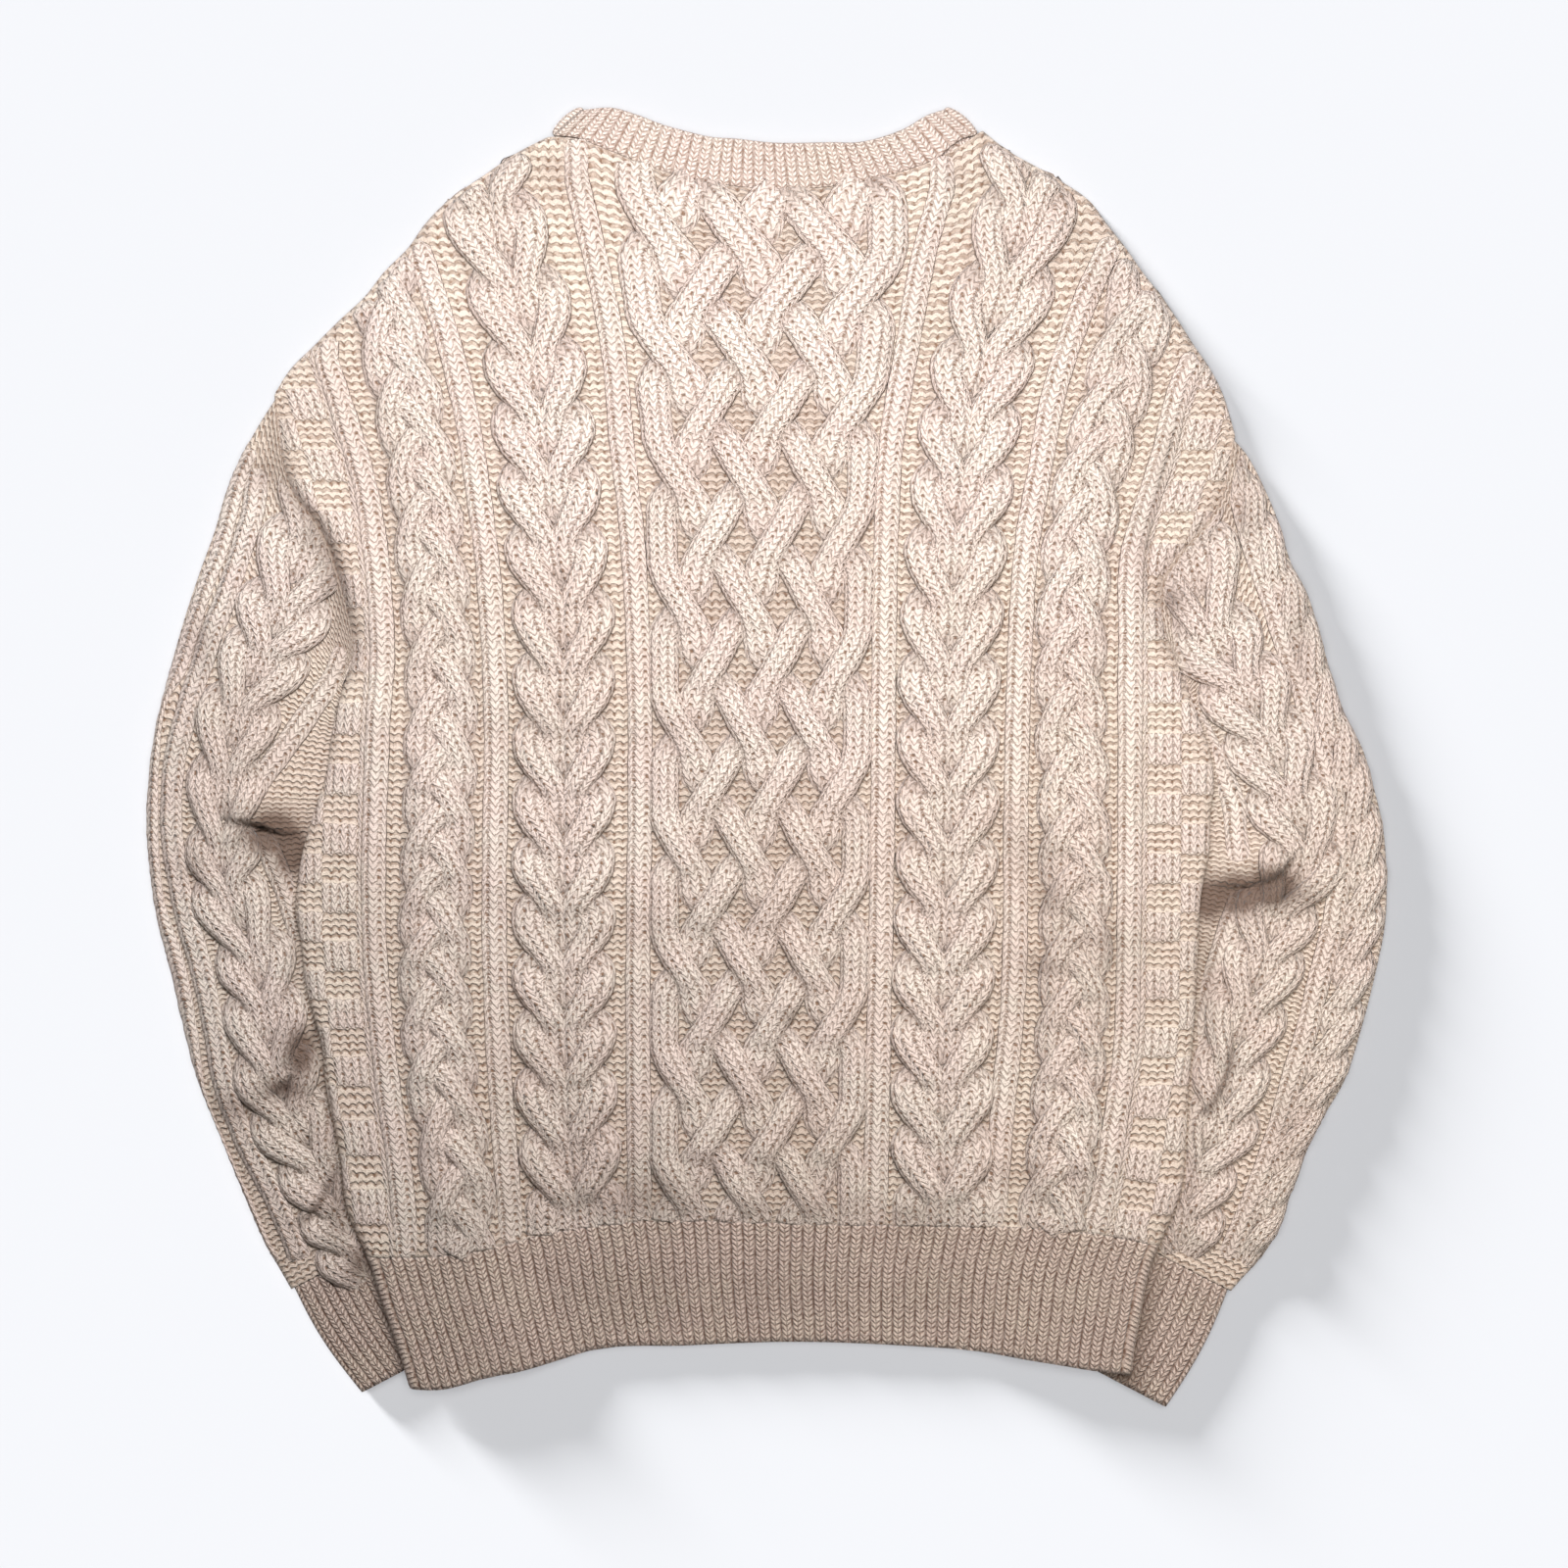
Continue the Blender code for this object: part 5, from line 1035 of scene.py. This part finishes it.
def make_sleeve_strands(name, sleeve, material):
    """The horseshoe cable, the plain ridges, and at the rim a ridge on the left and a cable on the right."""
    knit = Knit()
    guide = sleeve.lines["horseshoe"]
    t = np.linspace(0, guide.last, guide.sections)
    half = sleeve.cable(t)
    for start, steps in routes(4, crossings(int(guide.last) + 1, *HORSESHOE)):
        offset, level, fan = strand_course(t, start, steps, 4)
        offset, share = squeezed(offset)
        full = SLEEVE_CABLE["width"] * half * share
        width, crown, raised = strand_form(full, SLEEVE_CABLE["crown"], level, fan)
        beside = offset * SLEEVE_CABLE["pitch"] * half
        sleeve.lay(knit, guide, beside, width, crown, 0.9 * raised, 5, start + 3.0)
    ridges = [("ridge", 0.5, SLEEVE_RIDGE), ("inner", 1.5, SLEEVE_RIDGE), ("elbow", 2.5, SLEEVE_RIDGE)]
    if sleeve.side < 0:
        ridges.append(("edge", 5.5, RIM_RIDGE))
    for key, seed, form in ridges:
        guide = sleeve.lines[key]
        sleeve.lay(knit, guide, np.zeros(guide.sections), seed=seed, **form)
    if sleeve.side > 0:
        guide = sleeve.lines["edge"]
        t = np.linspace(0, guide.last, guide.sections)
        spread = 0.3 + 0.7 * ease(t / 1.6) * ease((guide.last - t) / 1.2)
        for start, steps in routes(2, crossings(int(guide.last), (0.35, 0, -1))):
            offset, level, fan = strand_course(t, start, steps, 2, 1.2)
            form = strand_form(RIM_CABLE["width"] * (0.45 + 0.55 * spread), RIM_CABLE["crown"], level, fan)
            beside = offset * RIM_CABLE["pitch"] * spread - RIM_CABLE["beside"]
            sleeve.lay(knit, guide, beside, *form, 5, start + 6.0)
    return knit.build(name, material)


def make_cuff(name, sleeve, material):
    ends = np.array(sleeve.ends(sleeve.last), float).reshape(2, 2)
    length = np.hypot(*(ends[1] - ends[0]))
    along = (ends[1] - ends[0]) / length
    down = sleeve.side * np.array([-along[1], along[0]])
    parts = np.linspace(0, 1, CUFF_ROWS)[:, None]
    bow = sleeve.cuff["bow"] * np.sin(pi * parts) * sleeve.side
    outer = mix(ends[0] + along * CUFF_STEP + down * SEAM, sleeve.cuff["outer"], parts)
    outer = outer + np.hstack([bow, 0 * bow])
    inner = mix(ends[1] + down * SEAM, sleeve.cuff["inner"], parts)
    width = np.hypot(*(inner - outer).T)[:, None]
    ribs = round(length / RIB_PITCH)
    u_upper = np.concatenate([-(ROUND - ROUND_STEPS) / RIB_PITCH,
                              np.arange(1, ribs * RIB_POINTS) / RIB_POINTS,
                              ribs + (ROUND - ROUND_STEPS[::-1]) / RIB_PITCH])

    def locate(insets):
        return [mix(outer[:, i:i + 1], inner[:, i:i + 1], insets / width) for i in (0, 1)]

    def relief(x, y, insets):
        near_rim = np.minimum(insets, width - insets)
        clear = clamp((sleeve.outside(x, y) - 4) / RELIEF_RISE) * clamp(near_rim / 4)
        shown = clamp(np.minimum(parts / 0.06, (1 - parts) / 0.05) + 0.35)
        return clear * shown * (RIB * rib_wave(u_upper + 0.5) - 0.3)

    def count(upper, under):
        return np.concatenate([u_upper + 0 * upper, ribs + (width - under) / RIB_PITCH], axis=1) + 0.5
    columns = ribs * RIB_POINTS, CUFF_UNDER
    return flat_tube(name, material, sleeve, width, columns, locate, relief,
                     lambda x, y: 0 * x, parts * CUFF_LENGTH / RIB_ROW, KNIT, RIB_PITCH, count)


# ---------------------------------------------------------------- wool

class Term:
    """A value or colour in a material. Operators and methods add the nodes that work it out."""

    def __init__(self, tree, socket=None):
        self.tree, self.socket = tree, socket

    def node(self, kind, inputs, output=0, **settings):
        node = self.tree.nodes.new("ShaderNode" + kind)
        for key, value in settings.items():
            setattr(node, key, value)
        for key, value in inputs.items():
            if isinstance(value, Term):
                self.tree.links.new(value.socket, node.inputs[key])
            else:
                node.inputs[key].default_value = value
        return Term(self.tree, node.outputs[output])

    def math(self, operation, *others):
        return self.node("Math", dict(enumerate((self, *others))), operation=operation)

    def __add__(self, other):
        return self.math("ADD", other)

    def __sub__(self, other):
        return self.math("SUBTRACT", other)

    def __rsub__(self, other):
        return self.node("Math", {0: other, 1: self}, operation="SUBTRACT")

    def __mul__(self, other):
        return self.math("MULTIPLY", other)

    def span(self, low, high, to_low=0.0, to_high=1.0):
        """A smooth step between two values."""
        return self.node("MapRange", {"Value": self, "From Min": low, "From Max": high, "To Min": to_low,
                                      "To Max": to_high}, "Result", interpolation_type="SMOOTHSTEP")

    def wave(self):
        return (self * (2 * pi)).math("COSINE")

    def noise(self, scale, detail=2.0):
        return self.node("TexNoise", {"Scale": scale, "Detail": detail, "Vector": self}, "Fac")

    def choose(self, a, b):
        """a where this is 0 and b where it is 1."""
        return b * self + a * (1.0 - self)

    def blend(self, a, b):
        """The same of two colours."""
        return self.node("Mix", {0: self, 6: a, 7: b}, 2, data_type="RGBA", blend_type="MIX")


def knit_pattern(u, v):
    """Height and painted shade of plain knitting: columns of V-shaped stitches.

    Small dark dashes of painted shade lie between two columns, in turns at whole and half rows, and faint
    painted lines along the stitches' legs.
    """
    side = (u.math("FRACT") - 0.5).math("ABSOLUTE") * 2.0
    turn = (u + 0.5).math("FLOOR").math("FLOORED_MODULO", 2.0)
    dash = side.span(0.45, 0.9) * (v + turn * 0.5).wave().span(-0.1, 0.8)
    leg = (v + side * 1.1).wave().span(0.25, 1.0, 0.0, 0.6)
    dark = dash.math("MAXIMUM", leg + side.span(0.6, 1.0, 0.0, 0.26))
    return 1.0 - (dark + side.span(0.4, 1.0, 0.0, 0.25)), dark


def rib_pattern(u, v):
    """Height and painted shade of ribs: a column of V-shaped stitches on each crest, and dark grooves of
    painted shade.
    """
    side = ((u + 0.5).math("FRACT") - 0.5).math("ABSOLUTE") * 2.0
    leg = (v + side * 0.9).wave().span(-0.2, 1.0, 0.0, 0.8)
    dark = side.span(0.66, 1.0).math("MAXIMUM", leg.math("MAXIMUM", side.span(0.22, 0.0, 0.0, 0.6)))
    return 1.0 - dark, dark


def purl_pattern(u, v):
    """Height and painted shade of purl stitches: a ridge of small arches for each row, with painted shade
    between.
    """
    arch = (u * pi).math("SINE").math("ABSOLUTE")
    wave = (v + arch * 0.3).wave()
    return wave.span(-0.95, 0.5), wave.span(0.45, -0.6) * arch.span(0.0, 0.9, 1.0, 0.6)


def new_material(name, **inputs):
    """A material and its tree, with inputs of its shader set by name."""
    material = bpy.data.materials.new(name)
    material.use_nodes = True
    shader = material.node_tree.nodes["Principled BSDF"]
    for key, value in inputs.items():
        shader.inputs[key.replace("_", " ")].default_value = value
    return material, material.node_tree, shader


WARM_PATCH = (0.72, 0.585, 0.46, 1.0)   # wide soft patches
PURL_TONE = (0.81, 0.665, 0.50, 1.0)    # purl ground between the cables
# painted shade: the dark brown that creases, folds, crossings and shade spots are painted towards
PAINTED_SHADE_COLOUR = (0.15, 0.09, 0.062, 1.0)


def wool(name, base, tint, shade, depth, ribbed=False):
    """Knitted wool: stitches from the stitch coordinate, with mottled colour, a little fuzz, and painted
    shade in the stitches' gaps and where the mesh marks creases and folds.
    """
    material, tree, shader = new_material(name, Roughness=0.92, Sheen_Weight=0.2, Sheen_Roughness=0.5,
                                          Specular_IOR_Level=0.1)
    stitch = Term(tree).node("Attribute", {}, "Vector", attribute_name="stitch")
    hollow = Term(tree).node("Attribute", {}, "Fac", attribute_name="hollow")
    place_at = Term(tree).node("NewGeometry", {}, "Position")
    across, along, kind = [stitch.node("SeparateXYZ", {0: stitch}, axis) for axis in (0, 1, 2)]
    wobble = place_at.noise(260.0) - 0.5
    u, v = across + wobble * (0.12 if ribbed else 0.45), along + wobble * 0.8
    knit_height, knit_dark = (rib_pattern if ribbed else knit_pattern)(u, v)
    purl_height, purl_dark = purl_pattern(u, v)
    wale_blocks, row_blocks = [at.math("DIVIDE", BLOCK[key]).math("FLOOR")
                               for at, key in ((u, "wales"), (v, "rows"))]
    block = (wale_blocks + row_blocks).math("FLOORED_MODULO", 2.0)
    in_basket, plain = kind.math("GREATER_THAN", 1.5), kind.math("GREATER_THAN", 0.5)
    is_knit = in_basket * (1.0 - block) + (1.0 - in_basket) * plain
    height, dark = is_knit.choose(purl_height, knit_height), is_knit.choose(purl_dark, knit_dark)
    fibres = place_at.noise(1500.0, 3.0)
    colour = place_at.noise(38.0, 3.0).span(0.38, 0.62).blend(base, tint)
    for share, other in ((place_at.noise(190.0).span(0.35, 0.65) * 0.45, tint),
                         (place_at.noise(9.0).span(0.35, 0.7) * 0.22, WARM_PATCH),
                         ((1.0 - is_knit) * 0.4, PURL_TONE),
                         (fibres.span(0.42, 0.7, 0.0, 0.34), shade),
                         # painted shade in the gaps between stitches
                         (dark * place_at.noise(420.0).span(0.35, 0.65, 0.5, 1.1), shade),
                         # painted shade where the mesh marks creases, folds, strand flanks and crossings
                         (hollow * 0.9, PAINTED_SHADE_COLOUR)):
        colour = share.blend(colour, other)
    bumps = {"Strength": 0.9, "Distance": depth, "Height": height + fibres * 0.8}
    relief = height.node("Bump", bumps, "Normal")
    tree.links.new(colour.socket, shader.inputs["Base Color"])
    tree.links.new(relief.socket, shader.inputs["Normal"])
    return material


# ---------------------------------------------------------------- camera, floor and light

IMAGE = 1600              # pixels across the photo
VIEW_CENTRE = (0.00959, -0.01528)
CAMERA_HEIGHT = 1.6
GARMENT_MIDDLE = 0.010    # height at which the frame has its full width
FLOOR_REACH, FLOOR_HEIGHT = 60.0, -0.0003


def make_camera():
    camera = bpy.data.objects.new("camera", bpy.data.cameras.new("camera"))
    frame_width = IMAGE * PIXEL * MM
    camera.data.lens = camera.data.sensor_width * (CAMERA_HEIGHT - GARMENT_MIDDLE) / frame_width
    camera.location = (*VIEW_CENTRE, CAMERA_HEIGHT)
    bpy.context.scene.collection.objects.link(camera)
    bpy.context.scene.camera = camera


def make_floor():
    mesh = bpy.data.meshes.new("floor")
    corners = [(x * FLOOR_REACH, y * FLOOR_REACH, 0) for x, y in ((-1, -1), (1, -1), (1, 1), (-1, 1))]
    mesh.from_pydata(corners, [], [(0, 1, 2, 3)])
    floor = bpy.data.objects.new("floor", mesh)
    floor.location.z = FLOOR_HEIGHT
    mesh.materials.append(new_material("pale_floor", Base_Color=(0.80, 0.81, 0.84, 1), Roughness=0.9,
                                       Specular_IOR_Level=0.0)[0])
    bpy.context.scene.collection.objects.link(floor)
    floor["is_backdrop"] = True
    return floor


def make_light(name, kind, energy, location, aim, colour, only, **settings):
    """A light that shines on one collection alone."""
    data = bpy.data.lights.new(name, kind)
    for key, value in dict(energy=energy, color=colour, **settings).items():
        setattr(data, key, value)
    lamp = bpy.data.objects.new(name, data)
    lamp.location = location
    lamp.rotation_mode = "QUATERNION"
    lamp.rotation_quaternion = (Vector(aim) - Vector(location)).to_track_quat("-Z", "Y")
    bpy.context.scene.collection.objects.link(lamp)
    lamp.light_linking.receiver_collection = only


def make_lights(floor, garment):
    """A soft lamp above the neck for the garment, and an even light with a slanting shadow on the floor."""
    on_floor = bpy.data.collections.new("lit_by_floor_lights")
    on_floor.objects.link(floor)
    on_garment = bpy.data.collections.new("lit_by_garment_lights")
    for piece in garment:
        on_garment.objects.link(piece)
    middle, white = (0, 0, 0), (1, 1, 1)
    make_light("lamp_overhead", "AREA", 9.1, (-0.08, 0.3, 0.75), (-0.05, 0.42, 0.0), (0.99, 0.985, 1.015),
               on_garment, shape="RECTANGLE", size=0.6, size_y=0.16)
    make_light("lamp_low_right", "AREA", 1.25, (0.3, -0.18, 0.5), (0.3, -0.18, 0.0), (1.0, 0.94, 0.87),
               on_garment, size=0.2)
    make_light("sun_from_neck", "SUN", 0.85, (0.25, 0.9, 0.55), middle, white, on_garment, angle=0.3)
    make_light("sun_floor_even", "SUN", 2.02, (0, 0, 2), middle, white, on_floor, angle=1.2)
    make_light("sun_floor_shadow", "SUN", 7.7, (-1.0, 1.0, 0.245), middle, white, on_floor, angle=0.2)
    world = bpy.data.worlds.new("studio")
    world.use_nodes = True
    background = world.node_tree.nodes["Background"]
    background.inputs["Color"].default_value = (1, 1, 1, 1)
    background.inputs["Strength"].default_value = 0.1
    bpy.context.scene.world = world
    bpy.context.scene.view_settings.view_transform = "Standard"
    bpy.context.scene.view_settings.look = "None"


# ---------------------------------------------------------------- the garment

def main():
    knit_wool = wool("cream_cable_wool", (0.98, 0.87, 0.76, 1), (0.96, 0.80, 0.715, 1),
                     (0.28, 0.17, 0.11, 1), 0.0013)
    neck_wool = wool("cream_neck_wool", (0.96, 0.83, 0.72, 1), (0.95, 0.79, 0.70, 1),
                     (0.32, 0.20, 0.14, 1), 0.0011, ribbed=True)
    # the hem and cuff rib is a darker cream than the neckband: painted shade for the dimmer light low on the
    # garment and in the rib grooves
    rib_wool = wool("cream_rib_wool", (0.86, 0.71, 0.59, 1), (0.83, 0.66, 0.57, 1),
                    (0.19, 0.105, 0.07, 1), 0.0014, ribbed=True)

    back, front = make_back_shell(knit_wool), make_front_shell(knit_wool)
    back_hem, front_hem = make_back_hem(rib_wool), make_front_hem(rib_wool)
    neckband = make_neckband(neck_wool)
    on_back = [make_cable(f"{name}_strands", knit_wool, **cable) for name, cable in CABLES.items()]
    on_back.append(make_ridges("knit_ridges", knit_wool))
    shells, strands, cuffs = {}, {}, {}
    for side, sleeve in SLEEVES.items():
        shells[side] = make_sleeve_shell(f"sleeve_{side}_knit", sleeve, knit_wool)
        strands[side] = make_sleeve_strands(f"sleeve_{side}_strands", sleeve, knit_wool)
        cuffs[side] = make_cuff(f"cuff_{side}_knit", sleeve, rib_wool)

    for piece, node in ((back, "back_panel"), (front, "front_panel"), (back_hem, "back_hem_rib"),
                        (front_hem, "front_hem_rib"), (neckband, "neckband"),
                        (shells["left"], "sleeve_left"), (shells["right"], "sleeve_right"),
                        (cuffs["left"], "cuff_left"), (cuffs["right"], "cuff_right")):
        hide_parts(node)

    make_camera()
    floor = make_floor()
    make_lights(floor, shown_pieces())


main()
